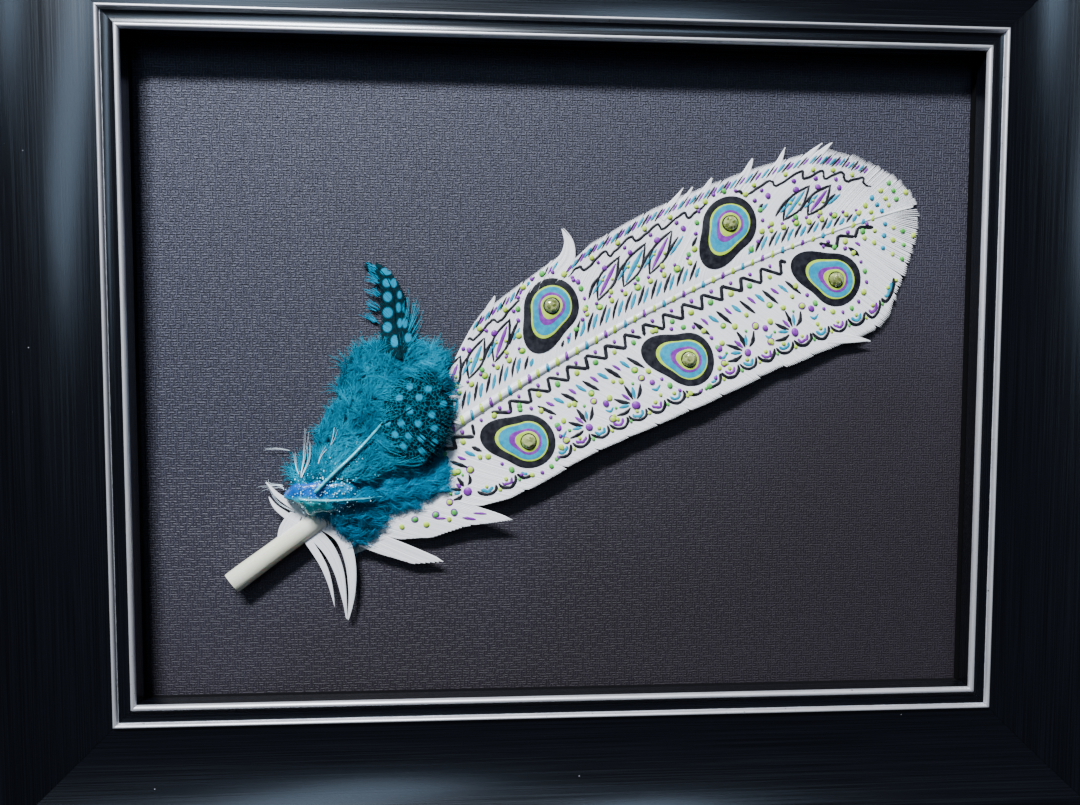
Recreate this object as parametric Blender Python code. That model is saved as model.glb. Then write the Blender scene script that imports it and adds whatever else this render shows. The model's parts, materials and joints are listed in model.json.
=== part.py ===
"""Painted feather mounted in a black picture frame, lying face up.

Frame: +X to the right, +Y to the picture's top, +Z out of the picture. Z is 0 at the frame's back.
All sizes below are in millimetres. Blender's own unit here is the metre.
"""

import math

import bmesh
import bpy
import numpy as np
from mathutils import Vector
from mathutils.geometry import delaunay_2d_cdt

MM = 0.001
GAP = 0.3  # clearance between pieces that touch

# Picture frame
SIGHT_WIDTH = 342.6  # clear opening between the lips
SIGHT_HEIGHT = 263.6
LIP_FRONT = 24.0  # height of the silver beads' crowns above the frame's back
LIP_THICKNESS = 7.6
RABBET_WIDTH = 8.0
BEAD_WIDTH = 2.3  # silver bead round the opening
CHANNEL_WIDTH = 5.1  # black channel between the two silver beads
LINE_WIDTH = 1.8  # outer silver bead
CHANNEL_DEPTH = 1.6
CHANNEL_SAG = 0.5
SCOOP_RADIUS = 60.0  # hollow of the black moulding
SCOOP_WIDTH = 34.0
RIDGE_RADIUS = 5.2  # round crown at the moulding's outer edge
BACK_CHAMFER = 1.2

# Board, spacers and backing, from the front to the back
BOARD_FACE = 10.0
BOARD_THICKNESS = 1.5
SPACER_WIDTH = 5.6
PANEL_THICKNESS = 3.0
RABBET_CLEARANCE = 0.8  # play of board and panel inside the rabbet

# White quill feather. s runs along the shaft from the cut end and t across it, positive to the top
QUILL_END = (-136.3, -85.6)
QUILL_ANGLE = 28.9  # degrees from +X to the line from the cut end to the tip
CHORD = 323.7
BOW_START = 4.22e-4  # the shaft's bow over its chord is u (CHORD - u) (BOW_START + BOW_RISE u)
BOW_RISE = 9.86e-7
SHAFT_LENGTH = 327.0
# Pairs of s and the quill's radius there, then of s and the height of its underside over its bed
SHAFT_RADII = [(0, 4.5), (48, 4.2), (75, 2.9), (130, 1.85), (200, 1.25), (290, 0.62), (327, 0.4)]
SHAFT_LIFTS = [(0, 0), (48, 0), (110, 1.3), (200, 1.4), (290, 0.9), (327, 0.5)]
CUT_SLANT = 1.6
VANE_THICKNESS = 0.7
VANE_ROOT = 1.35  # height on the shaft where the vane leaves it, in radii from the underside
LOWER_EDGE = 44.0  # the vane's usual reach below and above the shaft
UPPER_EDGE = 36.0
LOWER_LIFT = 3.4  # rise of the lower edge above the root
LOWER_DROOP = 3.6  # its sinking towards the calamus
UPPER_DROP = 0.32  # share of the root's height that the upper edge loses
RIPPLE = 0.25
VANE_SHARES = (0.0, 0.22, 0.45, 0.6, 0.76, 0.9, 1.0)  # where each barb has its points
BARB_SWEEP = 1.28  # how late a barb bends towards the tip
LOCK_SPLIT = 0.9  # share of its length at which a lock parts from the next
SLIT_WIDTH = 0.7
LOCK_POINT = 0.02

# Groups of locks along each edge: how many, then root on the shaft with s and t where its barb ends
UPPER_LOCKS = [
    (9, [(37, 41, 5.5), (70, 77, 7), (101, 105.5, 8.2)]),
    (6, [(101, 141, 31.5), (107, 147, 33.6), (118, 158, 34.6), (143, 187, 38)]),
    (24, [(143, 187.8, 33.4), (152, 198, 36.2), (180, 226, 37.5), (220, 264, 36.5), (250, 298, 34),
          (270, 309, 28), (286, 317, 20.5), (300, 323.5, 13.5), (312, 328, 6), (320, 329.6, 0.8)]),
]
LOWER_LOCKS = [
    (2, [(43, 60, -31), (47.5, 66.5, -39.5), (52, 77.3, -45.4)]),
    (4, [(52, 69, -27.8), (58, 78, -33.4), (65, 92, -37.2), (78, 110.9, -45.5)]),
    (34, [(78, 104.5, -34.5), (86, 115, -37.8), (95, 125, -38.8), (125, 155, -40.3), (155, 185, -43.8),
          (185, 212, -45.4), (215, 241, -45.8), (258, 287, -46), (268, 295.5, -45.4), (278, 304, -40.6),
          (290, 312, -31.3), (300, 320.5, -21.5), (310, 326, -12.5), (316, 328.4, -6), (320, 329.4, -1.4)]),
]
# Share at which each group parts from the one before it
UPPER_TEARS = (0.22, 0.9)
LOWER_TEARS = (0.6, 0.76)

# Loose strands of the white vane: points (s, t) along the middle, then the width at the root
STRANDS = {
    "droop_right": ([(45, -2), (47.5, -11), (44.5, -22), (37, -33), (28.5, -41)], 5.4),
    "droop_left": ([(39.5, -2), (40.3, -12), (38, -22), (32.5, -32), (27, -39)], 4.8),
    "droop_wisp": ([(36, -3), (34.8, -15), (32, -24), (27.5, -33)], 2.2),
    "shoulder": ([(30, 1), (33, 5), (39, 8), (46, 5)], 6.0),
    "back_wisp": ([(42, 4), (39.5, 11), (37, 18), (36.6, 25)], 4.6),
    "back_thread": ([(37, 4), (34.8, 10), (33.6, 15), (34, 19.5)], 2.4),
    "curl": ([(176, 31), (185, 34.5), (189, 40), (189.4, 46.6)], 7.0),
    "spike_1": ([(226, 32), (233, 36), (239.3, 40)], 2.6),
    "spike_2": ([(230, 30), (236, 34), (242.8, 38.6)], 2.6),
    "spike_3": ([(258, 31), (264, 35), (268.8, 40)], 3.0),
    "spike_4": ([(271, 29), (277, 33.5), (282.5, 39.6)], 3.0),
    "low_tip": ([(272, -41), (282, -45), (291.2, -48.8)], 4.0),
}

# Downy plumes over the shaft, as loops of (x, y) round each
TOP_PLUME = [
    (-110, -46), (-114, -38), (-104, -31), (-102.5, -24), (-98, -15), (-93, -9), (-92, -2), (-90, 4),
    (-85, 10), (-83, 17.5), (-77, 18), (-75.5, 24), (-80, 31), (-82.5, 38), (-81.5, 45), (-75, 45),
    (-69.5, 40), (-65, 33), (-60, 28), (-56, 22), (-52, 15), (-46.5, 10), (-47, 3), (-45, -5),
    (-46, -16), (-53, -29), (-66, -38), (-79, -42.5), (-91, -45.5), (-102, -47.5),
]
BLADE_FROM = 13.0  # above this y the top plume is a flat blade
FRONT_BLADE = [
    (-71, -31), (-74, -20), (-73, -10), (-69, -3), (-63, 1.5), (-55.5, 3.5), (-51.5, -3), (-46.5, -10),
    (-45, -18), (-47, -28), (-55, -36.5), (-64, -37),
]
FRONT_QUILL = [(-99, -46.2), (-92, -39), (-84.5, -31.7), (-73, -19), (-66, -12)]
MARABOU = [
    (-106, -50), (-100, -43), (-84, -40), (-68, -38.5), (-52, -31), (-46, -39), (-48, -48), (-58, -53.5),
    (-69, -57), (-73, -63), (-80, -67.5), (-85, -70.5), (-90, -65), (-96, -58.5),
]
MARABOU_QUILL = [(-105.4, -48.8), (-94, -49.5), (-85, -49.3), (-74, -49.3)]
GLITTER_GLUE = [
    (-114, -49.5), (-109.5, -44), (-101, -42), (-91, -41.5), (-84, -44), (-84, -51), (-92, -56), (-98, -55.5),
    (-103, -57.5), (-106.5, -52.5),
]
PLUME_QUILL_RADIUS = 0.75
PAD_RIM = 0.5
PAD_SHOULDER = 9.0  # distance from its edge over which a plume swells
# Thickness of each plume's body, length of its edge tufts, points round its edge, and spacing inside
PADS = {
    "marabou_plume": (2.6, 3.0, 52, 5.5),
    "guinea_feather_top": (4.6, 3.2, 84, 5.5),
    "glitter_glue": (1.3, 0.8, 30, 5.0),
    "guinea_feather_front": (1.8, 1.4, 40, 5.5),
}
BLADE_THICKNESS = 1.2  # of the top plume's flat blade
BLADE_BLEND = 6.0
RELIEF_CORNERS = [(-142, -94), (172, 86)]  # part of the board that the feathers cover

# Square of painted card under the plumes, by its corners
CARD_CORNERS = [(-88, -75.4), (-67, -66.2), (-72.5, -55.5), (-87, -62)]
CARD_THICKNESS = 0.4

# Rhinestones, by (s, t) of each
GEMS = [(134.0, -22.0), (171.0, 21.0), (211.0, -25.5), (251.0, 18.5), (285.0, -19.5)]
GEM_RADIUS = 3.0
GEM_HEIGHT = 2.2
GEM_GIRDLE = 0.5
GEM_PROFILE = [(1.0, 0.0), (1.0, GEM_GIRDLE / GEM_HEIGHT), (0.78, 0.66), (0.45, 1.0), (0.0, 1.0)]

# Retaining tabs and hanger on the back
TAB_LENGTH = 18.0
TAB_WIDTH = 9.0
TAB_THICKNESS = 0.6
TAB_RISE = 1.4
HANGER_LENGTH = 46.0
HANGER_WIDTH = 8.0
HANGER_RISE = 2.0
HANGER_PLATE = 0.8
HANGER_TEETH = 9
HANGER_FOOT = 6.0  # flat length at each end
HANGER_RAMP = 2.0
TOOTH_DEPTH = 1.6
HANGER_BELOW_TOP = 26.0  # from the panel's top edge
RIVET_RADIUS = 2.0
RIVET_HEIGHT = 0.95
RIVET_PROFILE = [(1.0, 0.0), (0.82, 0.53), (0.4, 0.9), (0.0, 1.0)]


def clear_scene():
    for item in list(bpy.data.objects):
        bpy.data.objects.remove(item)


def material(name, colour, roughness, metallic=0.0):
    """A plain Principled finish."""
    made = bpy.data.materials.new(name)
    made.use_nodes = True
    shader = made.node_tree.nodes["Principled BSDF"]
    shader.inputs["Base Color"].default_value = (*colour, 1.0)
    shader.inputs["Roughness"].default_value = roughness
    shader.inputs["Metallic"].default_value = metallic
    return made


def make_materials():
    return {
        "frame_black": material("frame_black", (0.012, 0.012, 0.016), 0.28),
        "spacer_black": material("spacer_black", (0.01, 0.01, 0.01), 0.8),
        "linen_board": material("linen_board", (0.045, 0.045, 0.055), 0.75),
        "backing_brown": material("backing_brown", (0.23, 0.13, 0.07), 0.7),
        "steel": material("steel", (0.55, 0.55, 0.56), 0.35, 1.0),
        "white_feather": material("white_feather", (0.82, 0.82, 0.8), 0.5),
        "guinea_top": material("guinea_top", (0.0, 0.24, 0.33), 0.7),
        "guinea_front": material("guinea_front", (0.01, 0.12, 0.16), 0.7),
        "marabou": material("marabou", (0.0, 0.32, 0.45), 0.8),
        "glitter_glue": material("glitter_glue", (0.0, 0.2, 0.55), 0.15),
        "teal_card": material("teal_card", (0.35, 0.66, 0.68), 0.5),
        "gem_green": material("gem_green", (0.4, 0.45, 0.1), 0.08),
    }


def add_object(name, points, faces, finish, smooth=False):
    """One closed mesh object from points in millimetres. Doubles are merged and faces point out."""
    mesh = bpy.data.meshes.new(name)
    mesh.from_pydata((np.asarray(points, float) * MM).tolist(), [], faces)
    work = bmesh.new()
    work.from_mesh(mesh)
    bmesh.ops.remove_doubles(work, verts=work.verts, dist=1e-6)
    bmesh.ops.recalc_face_normals(work, faces=work.faces)
    work.to_mesh(mesh)
    work.free()
    if smooth:
        mesh.shade_smooth()
    made = bpy.data.objects.new(name, mesh)
    bpy.context.scene.collection.objects.link(made)
    made.data.materials.append(finish)
    return made


def spline(points, count, closed=False):
    """Catmull-Rom curve through the points, as count points evenly spread over its spans."""
    knots = np.asarray(points, float)
    spans = len(knots) if closed else len(knots) - 1
    place = np.arange(count) * spans / (count if closed else count - 1)
    span = np.minimum(place.astype(int), spans - 1)
    part = (place - span)[:, None]

    def knot(offset):
        index = span + offset
        return knots[index % len(knots)] if closed else knots[np.clip(index, 0, len(knots) - 1)]

    before, start, end, after = (knot(offset) for offset in (-1, 0, 1, 2))
    return 0.5 * (
        2 * start
        + (end - before) * part
        + (2 * before - 5 * start + 4 * end - after) * part**2
        + (3 * start - before - 3 * end + after) * part**3
    )


def grid_faces(first, rows, columns, closed=False):
    """Quads of a grid of rows by columns, whose vertex numbers start at first."""
    faces = []
    for row in range(rows - 1):
        for column in range(columns if closed else columns - 1):
            here = first + row * columns
            above = here + columns
            following = (column + 1) % columns
            faces.append((here + column, here + following, above + following, above + column))
    return faces


# The frame


def arc(centre, radius, start, end, count):
    """Points of an arc in a profile, from one angle to another in degrees."""
    angles = np.radians(np.linspace(start, end, count))
    return [(centre[0] + radius * math.cos(a), centre[1] + radius * math.sin(a)) for a in angles]


def bead(start, width, crown, base):
    """Half ellipse of a bead from start outwards, with its crown at a height and its foot at base."""
    angles = np.linspace(math.pi, 0, 7)
    return [(start + width / 2 * (1 + math.cos(a)), base + (crown - base) * math.sin(a)) for a in angles]


def rail_profile():
    """The moulding's section: distance outwards from the opening, and height above the back."""
    foot = LIP_FRONT - CHANNEL_DEPTH
    line_start = BEAD_WIDTH + CHANNEL_WIDTH
    scoop_start = line_start + LINE_WIDTH
    turn = math.degrees(math.asin(SCOOP_WIDTH / SCOOP_RADIUS))
    scoop = arc((scoop_start, foot + SCOOP_RADIUS), SCOOP_RADIUS, -90, -90 + turn, 9)
    crown_centre = (
        scoop[-1][0] + RIDGE_RADIUS * math.sin(math.radians(turn)),
        scoop[-1][1] - RIDGE_RADIUS * math.cos(math.radians(turn)),
    )
    crown = arc(crown_centre, RIDGE_RADIUS, 90 + turn, 0, 9)[1:]
    outside = crown[-1][0]
    channel_middle = (BEAD_WIDTH + CHANNEL_WIDTH / 2, foot - CHANNEL_SAG)
    return (
        [(0, LIP_FRONT - LIP_THICKNESS), *bead(0, BEAD_WIDTH, LIP_FRONT, foot), channel_middle]
        + bead(line_start, LINE_WIDTH, LIP_FRONT, foot)
        + scoop[1:]
        + crown
        + [
            (outside, BACK_CHAMFER),
            (outside - BACK_CHAMFER, 0),
            (RABBET_WIDTH, 0),
            (RABBET_WIDTH, LIP_FRONT - LIP_THICKNESS),
        ]
    )


def make_rail(name, turns, finish):
    """A mitred rail: the profile carried along one side of the opening, then turned by quarter turns."""
    profile = np.array(rail_profile())
    length, reach = (SIGHT_WIDTH, SIGHT_HEIGHT) if turns % 2 == 0 else (SIGHT_HEIGHT, SIGHT_WIDTH)
    outwards, height = profile[:, 0], profile[:, 1]
    end = length / 2 + outwards - GAP / 2
    side = reach / 2 + outwards
    ring = len(profile)
    points = np.concatenate([np.stack([sign * end, side, height], 1) for sign in (-1, 1)])
    angle = math.radians(90 * turns)
    turned = points.copy()
    turned[:, 0] = points[:, 0] * math.cos(angle) - points[:, 1] * math.sin(angle)
    turned[:, 1] = points[:, 0] * math.sin(angle) + points[:, 1] * math.cos(angle)
    faces = grid_faces(0, 2, ring, closed=True)
    faces += [tuple(range(ring)), tuple(range(2 * ring - 1, ring - 1, -1))]
    return add_object(name, turned, faces, finish)


def make_slab(name, low, high, finish):
    """A flat rectangular piece between two corners."""
    corners = [(x, y, z) for z in (low[2], high[2]) for y in (low[1], high[1]) for x in (low[0], high[0])]
    faces = [(0, 2, 3, 1), (4, 5, 7, 6), (0, 1, 5, 4), (2, 6, 7, 3), (0, 4, 6, 2), (1, 3, 7, 5)]
    return add_object(name, corners, faces, finish)


def make_board_and_spacers(finishes):
    """The textured board, the strips that hold it off the lip, and the panel behind it."""
    half_x = SIGHT_WIDTH / 2 + RABBET_WIDTH - RABBET_CLEARANCE
    half_y = SIGHT_HEIGHT / 2 + RABBET_WIDTH - RABBET_CLEARANCE
    board_back = BOARD_FACE - BOARD_THICKNESS
    panel_front = board_back - GAP
    panel_back = panel_front - PANEL_THICKNESS
    layers = {
        "linen_board": (board_back, BOARD_FACE, "linen_board"),
        "backing_panel": (panel_back, panel_front, "backing_brown"),
    }
    for name, (under, face, finish) in layers.items():
        make_slab(name, (-half_x, -half_y, under), (half_x, half_y, face), finishes[finish])
    low, high = BOARD_FACE + GAP, LIP_FRONT - LIP_THICKNESS - GAP
    inner_x, inner_y = half_x - SPACER_WIDTH, half_y - SPACER_WIDTH
    side_end = inner_y - GAP
    strips = {
        "spacer_top": ((-half_x, inner_y, low), (half_x, half_y, high)),
        "spacer_bottom": ((-half_x, -half_y, low), (half_x, -inner_y, high)),
        "spacer_left": ((-half_x, -side_end, low), (-inner_x, side_end, high)),
        "spacer_right": ((inner_x, -side_end, low), (half_x, side_end, high)),
    }
    for name, (corner, opposite) in strips.items():
        make_slab(name, corner, opposite, finishes["spacer_black"])
    return panel_back


# The back


def make_tab(name, x, y, turns, surface, finish):
    """A flat steel tab from the rabbet's wall over the panel's edge, its free end bent up off the panel."""
    stations = [(0.0, 0.0), (0.3, 0.0), (0.62, 0.0), (1.0, TAB_RISE)]
    angle = math.radians(90 * turns)
    points = []
    for share, lift in stations:
        for across in (-TAB_WIDTH / 2, TAB_WIDTH / 2):
            for thick in (0.0, TAB_THICKNESS):
                along = -share * TAB_LENGTH
                points.append((
                    x + across * math.cos(angle) - along * math.sin(angle),
                    y + across * math.sin(angle) + along * math.cos(angle),
                    surface - GAP - lift - thick,
                ))
    faces = [(0, 1, 3, 2)]
    for step in range(len(stations) - 1):
        a = 4 * step
        faces += [(a, a + 4, a + 5, a + 1), (a + 2, a + 3, a + 7, a + 6)]
        faces += [(a, a + 2, a + 6, a + 4), (a + 1, a + 5, a + 7, a + 3)]
    last = 4 * (len(stations) - 1)
    faces.append((last, last + 2, last + 3, last + 1))
    return add_object(name, points, faces, finish)


def make_tabs(surface, finish):
    """Eight tabs, two for each side."""
    wall_x = SIGHT_WIDTH / 2 + RABBET_WIDTH - GAP
    wall_y = SIGHT_HEIGHT / 2 + RABBET_WIDTH - GAP
    places = []
    for share in (-0.28, 0.28):
        places += [
            (share * SIGHT_WIDTH, wall_y, 0),
            (-wall_x, share * SIGHT_HEIGHT, 1),
            (share * SIGHT_WIDTH, -wall_y, 2),
            (wall_x, share * SIGHT_HEIGHT, 3),
        ]
    for number, (x, y, turns) in enumerate(places, 1):
        make_tab(f"retaining_tab_{number}", x, y, turns, surface, finish)


def make_hanger(surface, finish):
    """A sawtooth hanger: a strip with its ends flat on the panel and its toothed middle raised."""
    centre_y = SIGHT_HEIGHT / 2 + RABBET_WIDTH - HANGER_BELOW_TOP
    columns = 2 * HANGER_TEETH + 5
    x = np.linspace(-HANGER_LENGTH / 2, HANGER_LENGTH / 2, columns)
    lift = HANGER_RISE * np.clip((HANGER_LENGTH / 2 - HANGER_FOOT - np.abs(x)) / HANGER_RAMP, 0, 1)
    toothed = (np.arange(columns) % 2 == 1) & (lift > HANGER_RISE / 2)
    points = []
    for thick in (0.0, HANGER_PLATE):
        for low in (True, False):
            y = np.full(columns, HANGER_WIDTH / 2)
            if low:
                y = np.where(toothed, TOOTH_DEPTH, 0.0) - HANGER_WIDTH / 2
            points += list(zip(x, centre_y + y, surface - GAP - lift - thick, strict=True))
    count = columns
    faces = grid_faces(0, 2, count) + grid_faces(2 * count, 2, count)
    for row in (0, 1):
        a, b = row * count, (2 + row) * count
        faces += [(a + k, a + k + 1, b + k + 1, b + k) for k in range(count - 1)]
    faces += [(0, count, 3 * count, 2 * count), (count - 1, 2 * count - 1, 4 * count - 1, 3 * count - 1)]
    add_object("sawtooth_hanger", points, faces, finish)
    for side, name in ((-1, "hanger_rivet_left"), (1, "hanger_rivet_right")):
        place = (side * (HANGER_LENGTH - HANGER_FOOT) / 2, centre_y, surface - 2 * GAP - HANGER_PLATE)
        make_turned(name, place, RIVET_PROFILE, (RIVET_RADIUS, -RIVET_HEIGHT), 12, finish)


def make_turned(name, centre, profile, size, sides, finish):
    """A turned solid on a flat foot, as rings of (radius, height) times its size. The last is on the axis."""
    angles = np.arange(sides) * 2 * math.pi / sides
    points = []
    for radius, height in np.array(profile[:-1]) * size:
        x = centre[0] + radius * np.cos(angles)
        y = centre[1] + radius * np.sin(angles)
        points += list(zip(x, y, np.full(sides, centre[2] + height), strict=True))
    top = len(points)
    points.append((centre[0], centre[1], centre[2] + profile[-1][1] * size[1]))
    faces = grid_faces(0, len(profile) - 1, sides, closed=True)
    last = (len(profile) - 2) * sides
    faces += [(last + k, last + (k + 1) % sides, top) for k in range(sides)]
    faces.append(tuple(range(sides)))
    return add_object(name, points, faces, finish)


# The white feather


def shaft_line():
    """The shaft's line on the board as arrays: distance along it, points, and unit normals to its left."""
    u = np.linspace(0, CHORD + 6, 700)
    v = u * (CHORD - u) * (BOW_START + BOW_RISE * u)
    angle = math.radians(QUILL_ANGLE)
    x = QUILL_END[0] + u * math.cos(angle) - v * math.sin(angle)
    y = QUILL_END[1] + u * math.sin(angle) + v * math.cos(angle)
    line = np.stack([x, y], 1)
    along = np.concatenate([[0], np.cumsum(np.linalg.norm(np.diff(line, axis=0), axis=1))])
    tangent = np.gradient(line, along, axis=0)
    tangent /= np.linalg.norm(tangent, axis=1)[:, None]
    return along, line, np.stack([-tangent[:, 1], tangent[:, 0]], 1)


ALONG, LINE, NORMAL = shaft_line()


def on_board(s, t):
    """Plan position of (s, t): s along the shaft, then t along its normal there."""
    s, t = np.asarray(s, float), np.asarray(t, float)
    point = np.stack([np.interp(s, ALONG, LINE[:, k]) for k in (0, 1)], -1)
    normal = np.stack([np.interp(s, ALONG, NORMAL[:, k]) for k in (0, 1)], -1)
    return point + normal * t[..., None]


def shaft_radius(s):
    """Radius of the quill, full at the calamus and finest at the tip."""
    return np.interp(s, *np.transpose(SHAFT_RADII))


def shaft_underside(s):
    """Height of the quill's underside, which arches a little off the board."""
    return BOARD_FACE + GAP + np.interp(s, *np.transpose(SHAFT_LIFTS))


def vane_height(s, t):
    """Top of the vane, which leaves the shaft above its middle.

    It rises to the lower edge, most at half length, and sinks to the upper one.
    """
    s, t = np.asarray(s, float), np.asarray(t, float)
    root = shaft_underside(s) + VANE_ROOT * shaft_radius(s)
    outwards = np.clip(-t / LOWER_EDGE, 0, 1.2) ** 1.3
    lower_lift = LOWER_LIFT * np.sin(math.pi * np.clip((s - 20) / 300, 0, 1)) ** 0.8 * outwards
    droop = LOWER_DROOP * np.clip((120 - s) / 80, 0, 1) * outwards
    upper_drop = UPPER_DROP * (root - BOARD_FACE - 1.6) * np.clip(t / UPPER_EDGE, 0, 1.3) ** 1.2
    ripple = RIPPLE * np.sin(s / 9.0 + t / 14.0) * np.clip(np.abs(t) / 20, 0, 1)
    lowest = BOARD_FACE + GAP + VANE_THICKNESS + 0.2
    return np.maximum(root + lower_lift - droop - upper_drop + ripple, lowest)


def barb_end(knots, root):
    """Where the barb from this root ends."""
    table = np.array(knots, float)
    return np.array([np.interp(root, table[:, 0], table[:, k]) for k in (1, 2)])


def barb(root, end, side):
    """One barb as rows of (s, t) from just beside the shaft's line to its end."""
    share = np.array(VANE_SHARES)
    start = side * 0.3 * float(shaft_radius(root))
    return np.stack([root + (end[0] - root) * share**BARB_SWEEP, start + (end[1] - start) * share], 1)


def vane_sheet(side, groups, tears):
    """Top points and quads of one vane. Neighbouring locks share their barb up to where they part."""
    share = np.array(VANE_SHARES)
    points, faces = [], []
    previous_end, column = None, None

    def add(rows):
        first = len(points)
        for s, t in rows:
            x, y = on_board(s, t)
            points.append((float(x), float(y), float(vane_height(s, t))))
        return list(range(first, first + len(rows)))

    for number, (count, knots) in enumerate(groups):
        roots = np.linspace(knots[0][0], knots[-1][0], count + 1)
        for cell in range(count):
            last_cell = cell == count - 1
            if column is None:
                column = add(barb(roots[0], barb_end(knots, roots[0]), side))
            end = barb_end(knots, roots[cell + 1])
            opening = LOCK_SPLIT
            following = end
            if last_cell and number < len(tears):
                opening = tears[number]
                following = barb_end(groups[number + 1][1], roots[-1])
            shared = barb(roots[cell + 1], (end + following) / 2, side)
            spread = np.clip((share - opening) / (1 - opening), 0, 1)[:, None]
            parting = (following - end) / 2 * spread + [SLIT_WIDTH / 2, 0] * spread
            before, after = shared - parting, shared + parting
            before[-1, 1] *= 1 + LOCK_POINT * (1 + math.sin(cell * 2.4))
            final = last_cell and number == len(groups) - 1
            joined = np.ones(len(share), bool) if final else share <= opening + 1e-9
            right = add(shared if final else before)
            left = right if final else [
                right[row] if joined[row] else add(after[row : row + 1])[0] for row in range(len(share))
            ]
            faces += [
                (column[row], right[row], right[row + 1], column[row + 1]) for row in range(len(share) - 1)
            ]
            column = left
    return np.array(points), faces


def close_sheet(top, bottom, faces):
    """Points and faces of the closed solid between a sheet that faces up and the matching points below."""
    count = len(top)
    edges = {(a, b) for face in faces for a, b in zip(face, face[1:] + face[:1], strict=True)}
    walls = [(a, b, b + count, a + count) for a, b in edges if (b, a) not in edges]
    below = [tuple(v + count for v in reversed(face)) for face in faces]
    return np.concatenate([top, bottom]), faces + below + walls


def consistent(faces, points):
    """The same faces, each wound so that it faces up."""
    turned = []
    for face in faces:
        x, y = np.asarray(points)[list(face), :2].T
        area = (x * np.roll(y, -1) - y * np.roll(x, -1)).sum()
        turned.append(tuple(face) if area > 0 else tuple(reversed(face)))
    return turned


def make_strand(name, middle, width, finish):
    """A tapering strand of vane with a pointed end, as thick as the vane less a little at each face."""
    count = 9
    line = spline(middle, count)
    across = np.gradient(line, axis=0)
    across = np.stack([-across[:, 1], across[:, 0]], 1) / np.linalg.norm(across, axis=1)[:, None]
    share = np.linspace(0, 1, count)[:-1]
    half = width / 2 * (1 - share**1.6)
    points = []
    for sign in (-1, 1):
        s, t = (line[:-1] + sign * across[:-1] * half[:, None]).T
        points += [(*on_board(a, b), float(vane_height(a, b)) - 0.1) for a, b in zip(s, t, strict=True)]
    tip = len(points)
    points.append((*on_board(*line[-1]), float(vane_height(*line[-1])) - 0.1))
    row = count - 1
    faces = [(k, k + 1, row + k + 1, row + k) for k in range(row - 1)] + [(row - 1, tip, 2 * row - 1)]
    points = np.array(points)
    below = points - [0, 0, VANE_THICKNESS - 0.2]
    solid_points, solid_faces = close_sheet(points, below, consistent(faces, points))
    return add_object(name, solid_points, solid_faces, finish)


def make_shaft(name, finish):
    """The quill: a rod of changing radius with its end cut aslant."""
    sides, stations = 12, 34
    s = np.linspace(0, SHAFT_LENGTH, stations)
    angles = np.arange(sides) * 2 * math.pi / sides
    points = []
    for place in s:
        radius = float(shaft_radius(place))
        for a in angles:
            slant = CUT_SLANT * math.sin(a) * (place == 0)
            x, y = on_board(place + slant, radius * math.cos(a))
            points.append((x, y, float(shaft_underside(place)) + radius + radius * math.sin(a)))
    faces = grid_faces(0, stations, sides, closed=True)
    faces += [tuple(range(sides)), tuple(range(len(points) - 1, len(points) - 1 - sides, -1))]
    return add_object(name, points, faces, finish)


def unite(body, others):
    """Joins the others to the body by a Boolean union each, and hides them."""
    for other in others:
        join = body.modifiers.new(f"join_{other.name}", "BOOLEAN")
        join.operation = "UNION"
        join.solver = "EXACT"
        join.object = other
        other.hide_render = True
        other.display_type = "WIRE"
        other.name = f"helper_{other.name}"


def make_white_feather(finish, relief):
    """One grown piece: the quill, both vanes and the loose strands."""
    shaft = make_shaft("white_feather", finish)
    others = []
    for name, side, groups, tears in (
        ("upper_vane", 1, UPPER_LOCKS, UPPER_TEARS),
        ("lower_vane", -1, LOWER_LOCKS, LOWER_TEARS),
    ):
        top, faces = vane_sheet(side, groups, tears)
        relief.take_in(top, faces)
        below = top - [0, 0, VANE_THICKNESS]
        others.append(add_object(name, *close_sheet(top, below, consistent(faces, top)), finish))
    others += [make_strand(name, middle, width, finish) for name, (middle, width) in STRANDS.items()]
    for item in (shaft, *others[2:]):
        relief.take_in_object(item)
    unite(shaft, others)


class Relief:
    """A raster of the highest surface so far, a point each millimetre, for the pieces laid over it."""

    def __init__(self, low, high):
        self.low = np.array(low, float)
        self.shape = (int(high[0] - low[0]) + 1, int(high[1] - low[1]) + 1)
        self.height = np.full(self.shape, BOARD_FACE)
        share = np.arange(17) / 16
        self.weights = np.array([(1 - a - b, a, b) for a in share for b in share if a + b < 1.001])

    def take_in(self, points, faces):
        """Raises the raster to the faces, which are sampled as fans of triangles."""
        fans = [(face[0], face[k], face[k + 1]) for face in faces for k in range(1, len(face) - 1)]
        corners = np.asarray(points, float)[np.array(fans)]
        sample = np.einsum("wk,fkc->fwc", self.weights, corners).reshape(-1, 3)
        cell = np.rint(sample[:, :2] - self.low).astype(int)
        inside = ((cell >= 0) & (cell < self.shape)).all(1)
        np.maximum.at(self.height, tuple(cell[inside].T), sample[inside, 2])

    def take_in_object(self, item):
        """The same for an object's own mesh."""
        points = np.array([vertex.co[:] for vertex in item.data.vertices]) / MM
        self.take_in(points, [tuple(polygon.vertices) for polygon in item.data.polygons])

    def under(self, places, reach=5):
        """The highest surface within some millimetres of each place."""
        spread = self.height
        rows, columns = self.shape
        for _ in range(reach):
            padded = np.pad(spread, 1, mode="edge")
            nearby = [padded[a : a + rows, b : b + columns] for a in range(3) for b in range(3)]
            spread = np.max(nearby, axis=0)
        cell = np.rint(np.asarray(places, float)[:, :2] - self.low).astype(int)
        cell = np.clip(cell, 0, np.array(self.shape) - 1)
        return spread[tuple(cell.T)]


# The plumes


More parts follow.
